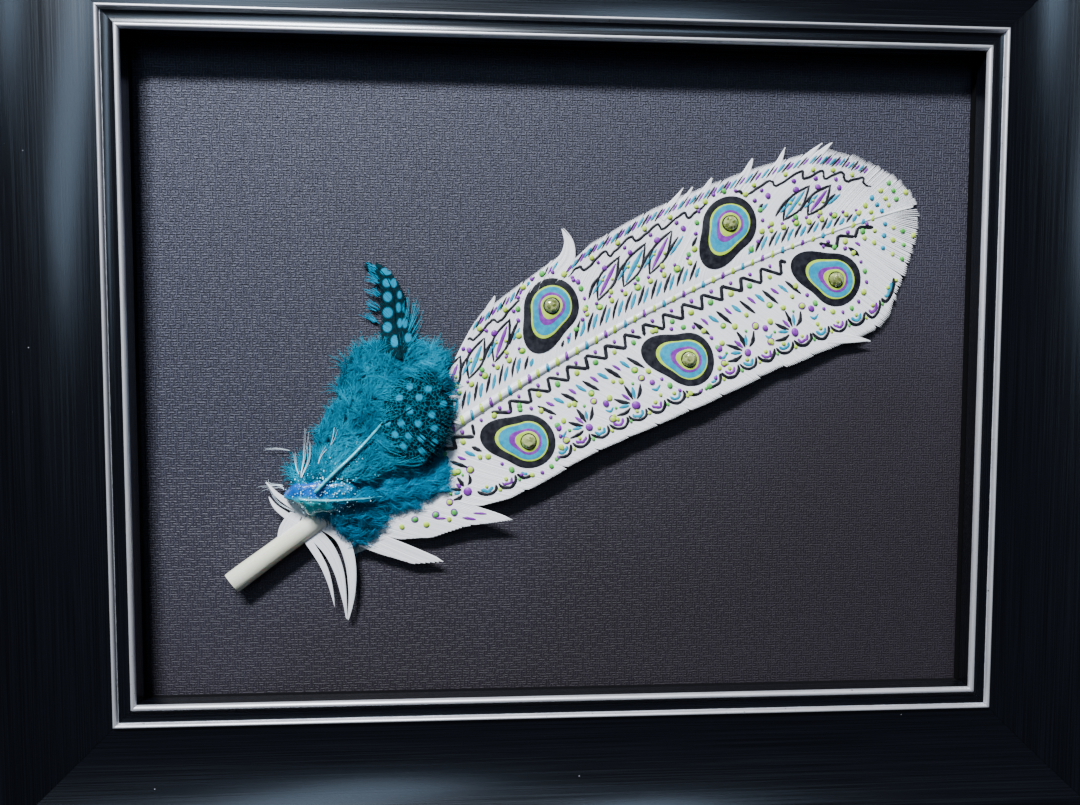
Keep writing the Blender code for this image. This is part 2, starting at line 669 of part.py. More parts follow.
def edge_distance(places, loop):
    """Distance from each place to the nearest side of the closed loop."""
    start, end = loop, np.roll(loop, -1, axis=0)
    side = end - start
    offset = places[:, None] - start[None]
    share = np.clip((offset * side).sum(2) / (side**2).sum(1), 0, 1)
    return np.linalg.norm(offset - share[..., None] * side[None], axis=2).min(1)


def within(places, loop):
    """Whether each place is inside the closed loop."""
    x, y = places[:, 0][:, None], places[:, 1][:, None]
    ax, ay = loop.T
    bx, by = np.roll(loop, -1, axis=0).T
    crossing = ((ay > y) != (by > y)) & (x < (bx - ax) * (y - ay) / (by - ay + 1e-12) + ax)
    return crossing.sum(1) % 2 == 1


def make_pad(name, loop, thick, relief, finish):
    """A soft mass laid over the relief.

    Its edge follows the loop, with every other point standing out by the tuft length to make locks.
    It swells from a thin rim to the thickness given for each place, then covers the relief below.
    """
    tuft, count, spacing = PADS[name][1:]
    edge = spline(loop, count, closed=True)
    tangent = np.roll(edge, -1, axis=0) - np.roll(edge, 1, axis=0)
    normal = np.stack([tangent[:, 1], -tangent[:, 0]], 1) / np.linalg.norm(tangent, axis=1)[:, None]
    turning = np.sign((edge * np.roll(edge, -1, axis=0)[:, ::-1] * [1, -1]).sum())
    edge = edge + normal * (turning * tuft * (np.arange(count) % 2 - 0.4))[:, None]
    low, high = edge.min(0), edge.max(0)
    row_step = spacing * math.sqrt(0.75)
    hexes = np.array([
        (low[0] + spacing * (column + 0.5 * (row % 2)), low[1] + row_step * row)
        for row in range(int((high[1] - low[1]) / row_step) + 1)
        for column in range(int((high[0] - low[0]) / spacing) + 1)
    ])
    hexes = hexes[within(hexes, edge)]
    hexes = hexes[edge_distance(hexes, edge) > 0.45 * spacing]
    plan = [Vector(p) for p in np.concatenate([edge, hexes])]
    made = delaunay_2d_cdt(plan, [], [list(range(count))], 1, 1e-5)
    places = np.array([tuple(p) for p in made[0]])
    faces = [tuple(face) for face in made[2]]
    depth = np.clip(edge_distance(places, edge) / PAD_SHOULDER, 0, 1)
    bottom = relief.under(places) + GAP + 0.15
    top = bottom + PAD_RIM + (thick(places) - PAD_RIM) * (1 - (1 - depth) ** 2) ** 0.8
    upper, lower = np.column_stack([places, top]), np.column_stack([places, bottom])
    relief.take_in(upper, faces)
    return add_object(name, *close_sheet(upper, lower, consistent(faces, upper)), finish)


def make_plume_quill(name, middle, relief, sink, finish):
    """A thin quill along plan points, just clear of what lies under it. Its far end dips into its plume."""
    sides, count = 6, 13
    line = spline(middle, count)
    across = np.gradient(line, axis=0)
    across = np.stack([-across[:, 1], across[:, 0]], 1) / np.linalg.norm(across, axis=1)[:, None]
    height = relief.under(line, 4) + GAP + 0.3 + PLUME_QUILL_RADIUS
    height = height - sink * np.clip((np.linspace(0, 1, count) - 0.72) / 0.2, 0, 1)
    angles = np.arange(sides) * 2 * math.pi / sides
    radius = PLUME_QUILL_RADIUS * np.linspace(1, 0.55, count)
    points = [
        (*(line[k] + across[k] * radius[k] * math.cos(a)), height[k] + radius[k] * math.sin(a))
        for k in range(count)
        for a in angles
    ]
    faces = grid_faces(0, count, sides, closed=True)
    faces += [tuple(range(sides)), tuple(range(len(points) - 1, len(points) - 1 - sides, -1))]
    return add_object(name, points, faces, finish)


def level(name):
    """The plume's own thickness at every place."""
    return lambda places: np.full(len(places), PADS[name][0])


def blade_and_down(places):
    """Thickness of the top plume: a flat blade above its down."""
    down = np.clip((BLADE_FROM + BLADE_BLEND - places[:, 1]) / (2 * BLADE_BLEND), 0, 1)
    return BLADE_THICKNESS + (PADS["guinea_feather_top"][0] - BLADE_THICKNESS) * down


def make_plumes(relief, finishes):
    """Three dyed plumes and the glue over their roots, each laid over what came before."""
    marabou = make_pad("marabou_plume", MARABOU, level("marabou_plume"), relief, finishes["marabou"])
    make_pad("guinea_feather_top", TOP_PLUME, blade_and_down, relief, finishes["guinea_top"])
    make_pad("glitter_glue", GLITTER_GLUE, level("glitter_glue"), relief, finishes["glitter_glue"])
    stem = make_plume_quill("marabou_quill", MARABOU_QUILL, relief, 2.2, finishes["marabou"])
    relief.take_in_object(stem)
    unite(marabou, [stem])
    stem = make_plume_quill("front_quill", FRONT_QUILL, relief, 0.0, finishes["guinea_front"])
    blade = level("guinea_feather_front")
    front = make_pad("guinea_feather_front", FRONT_BLADE, blade, relief, finishes["guinea_front"])
    unite(front, [stem])


def make_card(finish):
    """A small card square on the board."""
    low = BOARD_FACE + GAP
    points = [(x, y, z) for z in (low, low + CARD_THICKNESS) for x, y in CARD_CORNERS]
    faces = [(0, 1, 2, 3), (7, 6, 5, 4)] + [(k, (k + 1) % 4, (k + 1) % 4 + 4, k + 4) for k in range(4)]
    return add_object("painted_card", points, faces, finish)


def make_gems(finish):
    """Flat-backed stones on the vane, each a girdle, a ring of facets and a small table."""
    for number, (s, t) in enumerate(GEMS, 1):
        x, y = on_board(s, t)
        around = np.radians(np.arange(0, 360, 30))
        seat = vane_height(s + GEM_RADIUS * np.cos(around), t + GEM_RADIUS * np.sin(around)).max()
        place = (x, y, seat + GAP)
        make_turned(f"rhinestone_{number}", place, GEM_PROFILE, (GEM_RADIUS, GEM_HEIGHT), 12, finish)


def build():
    clear_scene()
    finishes = make_materials()
    for name, turns in (("rail_top", 0), ("rail_left", 1), ("rail_bottom", 2), ("rail_right", 3)):
        make_rail(name, turns, finishes["frame_black"])
    panel_back = make_board_and_spacers(finishes)
    make_tabs(panel_back, finishes["steel"])
    make_hanger(panel_back, finishes["steel"])
    relief = Relief(*RELIEF_CORNERS)
    relief.take_in_object(make_card(finishes["teal_card"]))
    make_white_feather(finishes["white_feather"], relief)
    make_plumes(relief, finishes)
    make_gems(finishes["gem_green"])


build()
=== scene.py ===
"""A painted white feather with dyed plumes in a black frame, lying face up. Sizes in comments are in mm."""

import json
import math

import bpy
import numpy as np
from bpy.props import FloatProperty, FloatVectorProperty, IntProperty, PointerProperty
from mathutils import Matrix, Vector

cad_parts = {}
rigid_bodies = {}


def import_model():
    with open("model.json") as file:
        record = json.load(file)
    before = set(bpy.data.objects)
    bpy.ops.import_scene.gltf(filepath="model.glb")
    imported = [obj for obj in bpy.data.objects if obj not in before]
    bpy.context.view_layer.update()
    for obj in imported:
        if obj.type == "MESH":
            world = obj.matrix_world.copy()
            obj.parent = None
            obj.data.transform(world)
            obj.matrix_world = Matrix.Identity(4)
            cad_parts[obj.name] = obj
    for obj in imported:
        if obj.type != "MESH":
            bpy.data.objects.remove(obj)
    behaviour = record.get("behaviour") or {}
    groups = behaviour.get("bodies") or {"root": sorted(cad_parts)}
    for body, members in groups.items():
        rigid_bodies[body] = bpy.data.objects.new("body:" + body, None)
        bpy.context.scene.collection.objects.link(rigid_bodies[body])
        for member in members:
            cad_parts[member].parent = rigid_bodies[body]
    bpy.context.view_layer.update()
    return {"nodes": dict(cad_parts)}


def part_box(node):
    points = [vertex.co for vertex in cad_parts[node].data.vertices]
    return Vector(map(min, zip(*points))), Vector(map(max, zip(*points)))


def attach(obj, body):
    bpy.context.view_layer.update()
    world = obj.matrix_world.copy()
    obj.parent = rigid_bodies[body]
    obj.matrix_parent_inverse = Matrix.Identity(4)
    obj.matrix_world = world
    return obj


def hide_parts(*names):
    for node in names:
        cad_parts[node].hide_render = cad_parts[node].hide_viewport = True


bl_info = {
    "name": "Framed painted feather",
    "version": (1, 0, 0),
    "blender": (4, 5, 0),
    "location": "View3D > Sidebar > Feather",
    "description": "Builds the finish of a framed painted feather over its packed solids",
    "category": "Object",
}

for unused in list(bpy.data.objects):
    bpy.data.objects.remove(unused)
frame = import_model()

MM = 0.001

# Measures shared with the solids, in millimetres
SIGHT_WIDTH = 342.6
SIGHT_HEIGHT = 263.6
LIP_FRONT = 24.0
LIP_THICKNESS = 7.6
RABBET_WIDTH = 8.0
BEAD_WIDTH = 2.3
CHANNEL_WIDTH = 5.1
LINE_WIDTH = 1.8
CHANNEL_DEPTH = 1.6
CHANNEL_SAG = 0.5
SCOOP_RADIUS = 60.0
SCOOP_WIDTH = 34.0
RIDGE_RADIUS = 5.2
BACK_CHAMFER = 1.2
BOARD_FACE = 10.0
BOARD_THICKNESS = 1.5
RABBET_CLEARANCE = 0.8
GAP = 0.3
QUILL_END = (-136.3, -85.6)
QUILL_ANGLE = 28.9
CHORD = 323.7
BOW_START = 4.22e-4
BOW_RISE = 9.86e-7
SHAFT_LENGTH = 327.0
SHAFT_RADII = [(0, 4.5), (48, 4.2), (75, 2.9), (130, 1.85), (200, 1.25), (290, 0.62), (327, 0.4)]
SHAFT_LIFTS = [(0, 0), (48, 0), (110, 1.3), (200, 1.4), (290, 0.9), (327, 0.5)]
CUT_SLANT = 1.6
VANE_THICKNESS = 0.7
VANE_ROOT = 1.35
LOWER_EDGE = 44.0
UPPER_EDGE = 36.0
LOWER_LIFT = 3.4
LOWER_DROOP = 3.6
UPPER_DROP = 0.32
RIPPLE = 0.25
BARB_SWEEP = 1.28

# Groups of locks along each edge: how many, the share where their slits open, and for some roots on the shaft
# the s and t where the barb ends
UPPER_LOCKS = [
    (5, 0.75, [(37, 41, 5.5), (70, 77, 7), (101, 105.5, 8.2)]),
    (3, 0.9, [(101, 141, 31.5), (107, 147, 33.6), (118, 158, 34.6), (143, 187, 38)]),
    (11, 0.92, [(143, 187.8, 33.4), (152, 198, 36.2), (180, 226, 37.5), (220, 264, 36.5), (250, 298, 34),
                (270, 309, 28), (280, 314, 23.4)]),
    (9, 0.68, [(280, 314, 23.4), (286, 317, 20.5), (300, 323.5, 13.5), (312, 328, 6), (320, 329.6, 0.8)]),
]
LOWER_LOCKS = [
    (2, 0.85, [(43, 60, -31), (47.5, 66.5, -39.5), (52, 77.3, -45.4)]),
    (2, 0.88, [(52, 69, -27.8), (58, 78, -33.4), (65, 92, -37.2), (78, 110.9, -45.5)]),
    (13, 0.94, [(78, 104.5, -34.5), (86, 115, -37.8), (95, 125, -38.8), (125, 155, -40.3), (155, 185, -43.8),
                (185, 212, -45.4), (215, 241, -45.8), (258, 287, -46), (268, 295.5, -45.4), (278, 304, -40.6),
                (284, 308, -35.9)]),
    (10, 0.64, [(284, 308, -35.9), (290, 312, -31.3), (300, 320.5, -21.5), (310, 326, -12.5), (316, 328.4, -6),
                (320, 329.4, -1.4)]),
]
# Roots where the vane is torn between two groups, with the share of the barb at which the tear opens
TEARS = {52: 0.5, 78: 0.76, 101: 0.22, 143: 0.9}
STRANDS = {
    "droop_right": ([(45, -2), (47.5, -11), (44.0, -22), (36.4, -33), (28.2, -41)], 4.8),
    "droop_left": ([(39.5, -2), (40.3, -12), (38, -22), (33.0, -32), (28.0, -40.2)], 4.6),
    "droop_wisp": ([(36, -3), (34.8, -15), (32, -24), (27.5, -33)], 2.2),
    "shoulder": ([(30, 1), (33, 4.4), (39, 7), (46, 5)], 7.8),
    "back_wisp": ([(42, 4), (39.5, 11), (37, 18), (36.6, 25)], 2.6),
    "back_thread": ([(37, 4), (34.8, 10), (33.6, 15), (34, 19.5)], 2.2),
    "curl": ([(176, 31), (185, 34.5), (189, 40), (189.4, 46.6)], 7.0),
    "spike_1": ([(226, 32), (233, 36), (239.3, 40)], 2.6),
    "spike_2": ([(230, 30), (236, 34), (242.8, 38.6)], 2.6),
    "spike_3": ([(258, 31), (264, 35), (268.8, 40)], 3.0),
    "spike_4": ([(271, 29), (277, 33.5), (282.5, 39.6)], 3.0),
    "spike_5": ([(167, 29), (172.5, 33), (180, 37.2)], 2.8),
    "spike_6": ([(163, 28.5), (169, 32.4), (174, 35.4)], 2.4),
    "spike_7": ([(146, 31), (150, 33.8), (153.5, 36.2)], 2.2),
    "spike_8": ([(243, 33), (248, 36), (251.3, 38.8)], 2.2),
    "spike_9": ([(286, 27), (293.5, 31.6), (301.2, 35.4)], 3.0),
    "spike_10": ([(285, 30), (291, 33.6), (297.4, 36.4)], 2.4),
    "low_tip": ([(272, -41), (282, -45), (291.2, -48.8)], 4.0),
}
GEMS = [(134.0, -22.0), (171.0, 21.0), (211.0, -25.5), (251.0, 18.5), (285.0, -19.5)]
GEM_RADIUS = 3.0
GEM_HEIGHT = 2.2

# Plumes, as loops and lines of (x, y)
TOP_PLUME = [
    (-110, -46), (-114, -38), (-104, -31), (-102.5, -24), (-98, -15), (-93, -9), (-92, -2), (-90, 4),
    (-85, 10), (-83, 17.5), (-77, 18), (-75.5, 24), (-80, 31), (-82.5, 38), (-81.5, 45), (-75, 45),
    (-69.5, 40), (-65, 33), (-60, 28), (-56, 22), (-52, 15), (-46.5, 10), (-47, 3), (-45, -5),
    (-46, -16), (-53, -29), (-66, -38), (-79, -42.5), (-91, -45.5), (-102, -47.5),
]
TOP_DOWN = [
    (-110, -46), (-113, -38), (-104, -31), (-102, -24), (-98, -15), (-93, -9), (-92, -2), (-89, 5), (-84, 11),
    (-78, 14), (-70, 14), (-62, 15), (-54, 12), (-48, 8), (-47, 3), (-45, -5), (-46, -16), (-53, -29),
    (-66, -38), (-79, -42.5), (-91, -45.5), (-102, -47.5),
]
TOP_SPINE = [(-105, -44), (-93, -30), (-82, -15), (-74, -2), (-68, 8)]
TOP_RACHIS = [(-66.5, 6), (-67.6, 13), (-69.2, 20), (-69.6, 27), (-70.3, 33), (-72.4, 39), (-76.5, 44)]
TOP_SPOTS = [
    (-73, 42.1, 2.3, 1.5), (-72.7, 37.4, 1.7, 1.7), (-72.4, 31.7, 1.8, 2.0), (-72.4, 25.3, 2.1, 2.1),
    (-72.6, 19.4, 1.9, 2.0), (-69.9, 37.4, 1.2, 1.9), (-67.6, 32.6, 0.9, 1.6), (-68.0, 27.4, 0.95, 2.0),
    (-65.3, 27.4, 1.1, 2.2), (-67.5, 21.1, 0.95, 1.9), (-65.4, 21.1, 1.1, 2.1), (-78.6, 43.6, 1.6, 1.1),
    (-78.5, 39.4, 2.2, 1.6), (-78.4, 34.1, 2.2, 1.9), (-69.4, 13.6, 1.6, 2.4), (-64, 15, 1.4, 2.0),
]
FRONT_BLADE = [
    (-71, -31), (-74, -20), (-73, -10), (-69, -3), (-63, 1.5), (-55.5, 3.5), (-51.5, -3), (-46.5, -10),
    (-45, -18), (-47, -28), (-55, -36.5), (-64, -37),
]
FRONT_RACHIS = [(-74, -20), (-67, -16.5), (-59, -12), (-51, -8)]
FRONT_SPOTS = [
    (-62.8, -4.8), (-66.8, -9.3), (-58.7, -9.0), (-62.4, -14.3), (-65.7, -19.3), (-59.0, -19.3), (-68.1, -23.8),
    (-62.7, -24.1), (-57.7, -25.2), (-65.0, -28.3), (-57.5, -30.1), (-52.6, -26.9), (-52.7, -21.3),
    (-71.3, -19.1), (-49.1, -11.7), (-53.6, -16.1), (-57.9, -34.5), (-70.4, -28.4), (-55.2, -5.6),
]
FRONT_QUILL = [(-99, -46.2), (-92, -39), (-84.5, -31.7), (-73, -19), (-66, -12)]
TOP_FRAYED = [
    [(-76.4, 42.2), (-78.5, 43.9), (-80.6, 45.2)], [(-76.6, 37.8), (-78.6, 39.4), (-81.0, 40.6)],
    [(-76.4, 32.6), (-78.6, 34.2), (-80.9, 35.2)], [(-76.6, 26.8), (-79.0, 28.3), (-81.2, 29.4)],
    [(-77.5, 21.5), (-80.0, 23.0), (-82.0, 24.5)],
]
TOP_LOOSE = [
    [(-65.5, 9.5), (-60.5, 13.0), (-56.5, 15.2)], [(-65.0, 12.5), (-60.5, 17.5), (-57.8, 21.0)],
    [(-64.5, 16.0), (-61.5, 21.5), (-59.5, 26.5)], [(-64.3, 19.0), (-62.5, 25.5), (-61.6, 31.5)],
    [(-64.8, 7.5), (-58.0, 10.5), (-52.0, 13.0)], [(-64.6, 22.0), (-63.2, 28.5), (-63.3, 33.5)],
]
FRONT_FRINGE = [
    [(-76.5, -26.0), (-71.0, -29.5), (-66.5, -30.5)], [(-77.5, -16.0), (-73.0, -17.0), (-70.0, -15.5)],
    [(-76.5, -8.0), (-72.0, -8.0), (-68.5, -6.5)], [(-73.0, -1.0), (-68.5, -2.0), (-64.5, -2.0)],
    [(-67.0, 3.5), (-61.5, 1.0), (-57.0, 0.5)], [(-60.0, 5.5), (-54.5, 3.0), (-50.5, 0.5)],
    [(-71.5, -35.5), (-65.0, -36.5), (-59.0, -36.5)],
]
MARABOU = [
    (-106, -50), (-100, -43), (-84, -40), (-68, -38.5), (-52, -31), (-46, -39), (-48, -48), (-58, -53.5),
    (-69, -57), (-73, -63), (-80, -67.5), (-85, -70.5), (-90, -65), (-96, -58.5),
]
MARABOU_SPINE = [(-104, -47), (-92, -48), (-80, -48), (-68, -46), (-58, -43)]
MARABOU_QUILL = [(-105.4, -48.8), (-94, -49.5), (-85, -49.3), (-74, -49.3)]
GLITTER_GLUE = [
    (-114, -49.5), (-109.5, -44), (-101, -42), (-91, -41.5), (-84, -44), (-84, -51), (-92, -56), (-98, -55.5),
    (-103, -57.5), (-106.5, -52.5),
]
PLUME_QUILL_RADIUS = 0.75
CARD_CORNERS = [(-88, -75.4), (-67, -66.2), (-72.5, -55.5), (-87, -62)]
CARD_THICKNESS = 0.4
WHITE_WISPS = [
    [(-105.4, -41), (-106.8, -33), (-106.5, -22)], [(-105, -41), (-103.9, -35), (-104.6, -28)],
    [(-107, -40), (-109.6, -37), (-111, -32)], [(-99.4, -36), (-98.8, -33), (-97.2, -30)],
    [(-95.5, -29), (-94.2, -26), (-93.6, -22)], [(-113, -31.5), (-117.5, -30.6), (-123, -30.9)],
    [(-114, -46.8), (-118.4, -45.7), (-124.5, -47.2)], [(-115.5, -45.7), (-120.9, -44.7), (-122.4, -43.6)],
    [(-109.6, -56), (-115.6, -52.9), (-119, -48.8), (-120.9, -45.7)],
]


# Meshes


def mesh_object(name, points, faces, finish, smooth=True, values=None, uv=None):
    """A mesh object from points in millimetres and arrays of faces, each array with its own number of sides.

    Values are one number for each point, stored as named attributes. The UV map also has a pair for each point.
    """
    mesh = bpy.data.meshes.new(name)
    points = np.asarray(points, float)
    mesh.vertices.add(len(points))
    mesh.vertices.foreach_set("co", (points * MM).ravel())
    corners = np.concatenate([np.asarray(part, int).ravel() for part in faces])
    sides = np.concatenate([np.full(len(part), np.asarray(part).shape[1]) for part in faces])
    mesh.loops.add(len(corners))
    mesh.loops.foreach_set("vertex_index", corners)
    mesh.polygons.add(len(sides))
    mesh.polygons.foreach_set("loop_start", np.concatenate([[0], np.cumsum(sides)[:-1]]))
    mesh.polygons.foreach_set("use_smooth", np.full(len(sides), smooth))
    for key, array in (values or {}).items():
        stored = mesh.attributes.new(key, "FLOAT", "POINT")
        stored.data.foreach_set("value", np.asarray(array, float).ravel())
    if uv is not None:
        layer = mesh.uv_layers.new(name="UVMap")
        layer.data.foreach_set("uv", np.asarray(uv, float)[corners].ravel())
    mesh.update(calc_edges=True)
    mesh.validate()
    made = bpy.data.objects.new(name, mesh)
    bpy.context.scene.collection.objects.link(made)
    mesh.materials.append(finish)
    return made


def place(made, slot, *nodes):
    """Ties a finished piece to the body and hides the solids it stands for. The slot is not used."""
    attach(made, "root")
    if nodes:
        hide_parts(*nodes)
    return made


def grid_quads(rows, columns, around=False):
    """Quads of a grid whose points run row by row. With around, each row closes on itself."""
    row = np.arange(rows - 1)[:, None] * columns
    column = np.arange(columns if around else columns - 1)[None]
    following = (column + 1) % columns
    return np.stack(
        [row + column, row + following, row + columns + following, row + columns + column], -1
    ).reshape(-1, 4)


def sweep(paths, half, thick, section):
    """Closed strips along many paths at once.

    Paths has the shape (strips, stations, 3). Each ring is the section, as (across, up) pairs that run
    anticlockwise, times the half width and thickness of its station, set level across the path in plan.
    Returns the points, the faces, and for every point its strip's number and its share of the length.
    """
    strips, stations = paths.shape[:2]
    section = np.asarray(section, float)
    sides = len(section)
    along = np.gradient(paths, axis=1)[..., :2]
    along /= np.linalg.norm(along, axis=2, keepdims=True) + 1e-9
    across = np.stack([-along[..., 1], along[..., 0], np.zeros((strips, stations))], -1)
    points = paths[:, :, None] + across[:, :, None] * (section[:, 0] * half[..., None])[..., None]
    points[..., 2] += section[:, 1] * thick[..., None]
    one = grid_quads(stations, sides, around=True)
    shift = np.arange(strips)[:, None, None] * stations * sides
    quads = (one[None] + shift).reshape(-1, 4)
    ring = np.arange(sides)
    ends = np.stack([ring[::-1], ring + (stations - 1) * sides])
    caps = (ends[None] + shift).reshape(-1, sides)
    number = np.repeat(np.arange(strips), stations * sides)
    share = np.tile(np.repeat(np.linspace(0, 1, stations), sides), strips)
    return points.reshape(-1, 3), [quads, caps], number, share


def close_sheet(top, bottom, quads):
    """Closes a sheet of quads that face up with the matching points below it and walls round its borders."""
    count = len(top)
    edges = np.concatenate([np.stack([quads[:, k], quads[:, (k + 1) % 4]], 1) for k in range(4)])
    key = edges[:, 0] * count + edges[:, 1]
    twin = edges[:, 1] * count + edges[:, 0]
    border = edges[~np.isin(key, twin)]
    walls = np.stack([border[:, 1], border[:, 0], border[:, 0] + count, border[:, 1] + count], 1)
    return np.concatenate([top, bottom]), [np.concatenate([quads, quads[:, ::-1] + count, walls])]


def spline(points, count, closed=False):
    """Catmull-Rom curve through the points, as count points evenly spread over its spans."""
    knots = np.asarray(points, float)
    spans = len(knots) if closed else len(knots) - 1
    position = np.arange(count) * spans / (count if closed else count - 1)
    span = np.minimum(position.astype(int), spans - 1)
    part = (position - span)[:, None]

    def knot(offset):
        index = span + offset
        return knots[index % len(knots)] if closed else knots[np.clip(index, 0, len(knots) - 1)]

    before, start, end, after = (knot(offset) for offset in (-1, 0, 1, 2))
    return 0.5 * (
        2 * start
        + (end - before) * part
        + (2 * before - 5 * start + 4 * end - after) * part**2
        + (3 * start - before - 3 * end + after) * part**3
    )


# The feather's own coordinates: s along the shaft from the cut end and t across it, positive to the top


def shaft_line():
    """The shaft's line as arrays: distance along it, points, and unit normals to its left."""
    u = np.linspace(0, CHORD + 6, 700)
    v = u * (CHORD - u) * (BOW_START + BOW_RISE * u)
    angle = math.radians(QUILL_ANGLE)
    x = QUILL_END[0] + u * math.cos(angle) - v * math.sin(angle)
    y = QUILL_END[1] + u * math.sin(angle) + v * math.cos(angle)
    line = np.stack([x, y], 1)
    along = np.concatenate([[0], np.cumsum(np.linalg.norm(np.diff(line, axis=0), axis=1))])
    tangent = np.gradient(line, along, axis=0)
    tangent /= np.linalg.norm(tangent, axis=1)[:, None]
    return along, line, np.stack([-tangent[:, 1], tangent[:, 0]], 1)


ALONG, LINE, NORMAL = shaft_line()


def on_board(s, t):
    """Plan position of (s, t)."""
    s, t = np.asarray(s, float), np.asarray(t, float)
    point = np.stack([np.interp(s, ALONG, LINE[:, k]) for k in (0, 1)], -1)
    normal = np.stack([np.interp(s, ALONG, NORMAL[:, k]) for k in (0, 1)], -1)
    return point + normal * t[..., None]


def shaft_radius(s):
    """Radius of the quill."""
    return np.interp(s, *np.transpose(SHAFT_RADII))


def shaft_underside(s):
    """Height of the quill's underside."""
    return BOARD_FACE + GAP + np.interp(s, *np.transpose(SHAFT_LIFTS))


def vane_height(s, t):
    """Top of the vane: from the shaft it rises to the lower edge and sinks to the upper one."""
    s, t = np.asarray(s, float), np.asarray(t, float)
    root = shaft_underside(s) + VANE_ROOT * shaft_radius(s)
    outwards = np.clip(-t / LOWER_EDGE, 0, 1.2) ** 1.3
    lower_lift = LOWER_LIFT * np.sin(math.pi * np.clip((s - 20) / 300, 0, 1)) ** 0.8 * outwards
    droop = LOWER_DROOP * np.clip((120 - s) / 80, 0, 1) * outwards
    upper_drop = UPPER_DROP * (root - BOARD_FACE - 1.6) * np.clip(t / UPPER_EDGE, 0, 1.3) ** 1.2
    ripple = RIPPLE * np.sin(s / 9.0 + t / 14.0) * np.clip(np.abs(t) / 20, 0, 1)
    lowest = BOARD_FACE + GAP + VANE_THICKNESS + 0.2
    return np.maximum(root + lower_lift - droop - upper_drop + ripple, lowest)


def on_vane(s, t, lift=0.0):
    """Point on the vane's top, raised by the lift."""
    return np.concatenate([on_board(s, t), (vane_height(s, t) + lift)[..., None]], -1)


# Shaders


class Nodes:
    """Short calls that add linked nodes to one tree."""

    def __init__(self, tree):
        self.tree = tree

    def add(self, kind, inputs=None, **settings):
        node = self.tree.nodes.new(kind)
        for key, value in settings.items():
            setattr(node, key, value)
        for key, value in (inputs or {}).items():
            if isinstance(value, bpy.types.NodeSocket):
                self.tree.links.new(value, node.inputs[key])
            else:
                node.inputs[key].default_value = value
        return node

    def math(self, operation, first, second=0.0, clamp=False):
        node = self.add("ShaderNodeMath", {0: first, 1: second}, operation=operation, use_clamp=clamp)
        return node.outputs[0]

    def vector(self, operation, first, second):
        return self.add("ShaderNodeVectorMath", {0: first, 1: second}, operation=operation).outputs[0]

    def step(self, value, low, high, start=0.0, end=1.0):
        """Smooth change from start to end while the value runs from low to high."""
        settings = {"Value": value, "From Min": low, "From Max": high, "To Min": start, "To Max": end}
        return self.add("ShaderNodeMapRange", settings, interpolation_type="SMOOTHSTEP").outputs[0]

    def mix(self, factor, first, second):
        """Mixed colour."""
        node = self.add("ShaderNodeMix", {"Factor": factor}, data_type="RGBA")
        for socket, value in ((node.inputs[6], first), (node.inputs[7], second)):
            if isinstance(value, bpy.types.NodeSocket):
                self.tree.links.new(value, socket)
            else:
                socket.default_value = (*value, 1.0)
        return node.outputs[2]

    def noise(self, vector, scale, detail=3.0, roughness=0.55):
        settings = {"Vector": vector, "Scale": scale, "Detail": detail, "Roughness": roughness}
        return self.add("ShaderNodeTexNoise", settings).outputs["Fac"]

    def bump(self, height, distance, strength=1.0, normal=None):
        settings = {"Height": height, "Distance": distance, "Strength": strength}
        if normal is not None:
            settings["Normal"] = normal
        return self.add("ShaderNodeBump", settings).outputs[0]


def shader_group(name, inputs, outputs, fill):
    """A node group made once: sockets from (name, type, default) rows, its nodes added by the fill function."""
    if name in bpy.data.node_groups:
        return bpy.data.node_groups[name]
    tree = bpy.data.node_groups.new(name, "ShaderNodeTree")
    for label, kind, default in inputs:
        socket = tree.interface.new_socket(name=label, in_out="INPUT", socket_type=kind)
        if default is not None:
            socket.default_value = default
    for label, kind in outputs:
        tree.interface.new_socket(name=label, in_out="OUTPUT", socket_type=kind)
    source = tree.nodes.new("NodeGroupInput")
    target = tree.nodes.new("NodeGroupOutput")
    results = fill(Nodes(tree), source.outputs)
    for (label, _), result in zip(outputs, results, strict=True):
        tree.links.new(result, target.inputs[label])
    return tree


def use_group(nodes, group, **inputs):
    """The outputs of a group, with its inputs linked or set."""
    node = nodes.tree.nodes.new("ShaderNodeGroup")
    node.node_tree = group
    for key, value in inputs.items():
        if isinstance(value, bpy.types.NodeSocket):
            nodes.tree.links.new(value, node.inputs[key])
        else:
            node.inputs[key].default_value = value
    return node.outputs


FLOAT, VECTOR = "NodeSocketFloat", "NodeSocketVector"


def grain_group():
    """Fine brushed streaks: noise stretched along the first coordinate."""

    def fill(nodes, source):
        stretch = nodes.add("ShaderNodeCombineXYZ", {0: source["Length"], 1: source["Width"], 2: 1.0}).outputs[0]
        placed = nodes.vector("MULTIPLY", source["Vector"], stretch)
        fine = nodes.noise(placed, 1.0, 4.0, 0.6)
        return [nodes.step(fine, 0.3, 0.7)]

    inputs = [("Vector", VECTOR, None), ("Length", FLOAT, 0.02), ("Width", FLOAT, 3.0)]
    return shader_group("grain", inputs, [("Streak", FLOAT)], fill)


def dust_group():
    """Sparse specks of random size."""

    def fill(nodes, source):
        settings = {"Vector": source["Vector"], "Scale": source["Density"], "Randomness": 1.0}
        cells = nodes.add("ShaderNodeTexVoronoi", settings)
        random = nodes.add("ShaderNodeSeparateColor", {0: cells.outputs["Color"]}).outputs
        chosen = nodes.math("LESS_THAN", random[0], source["Share"])
        size = nodes.math("MULTIPLY", random[1], source["Size"])
        near = nodes.math("LESS_THAN", cells.outputs["Distance"], size)
        return [nodes.math("MULTIPLY", near, chosen)]

    inputs = [("Vector", VECTOR, None), ("Density", FLOAT, 150.0), ("Share", FLOAT, 0.1), ("Size", FLOAT, 0.06)]
    return shader_group("dust", inputs, [("Speck", FLOAT)], fill)


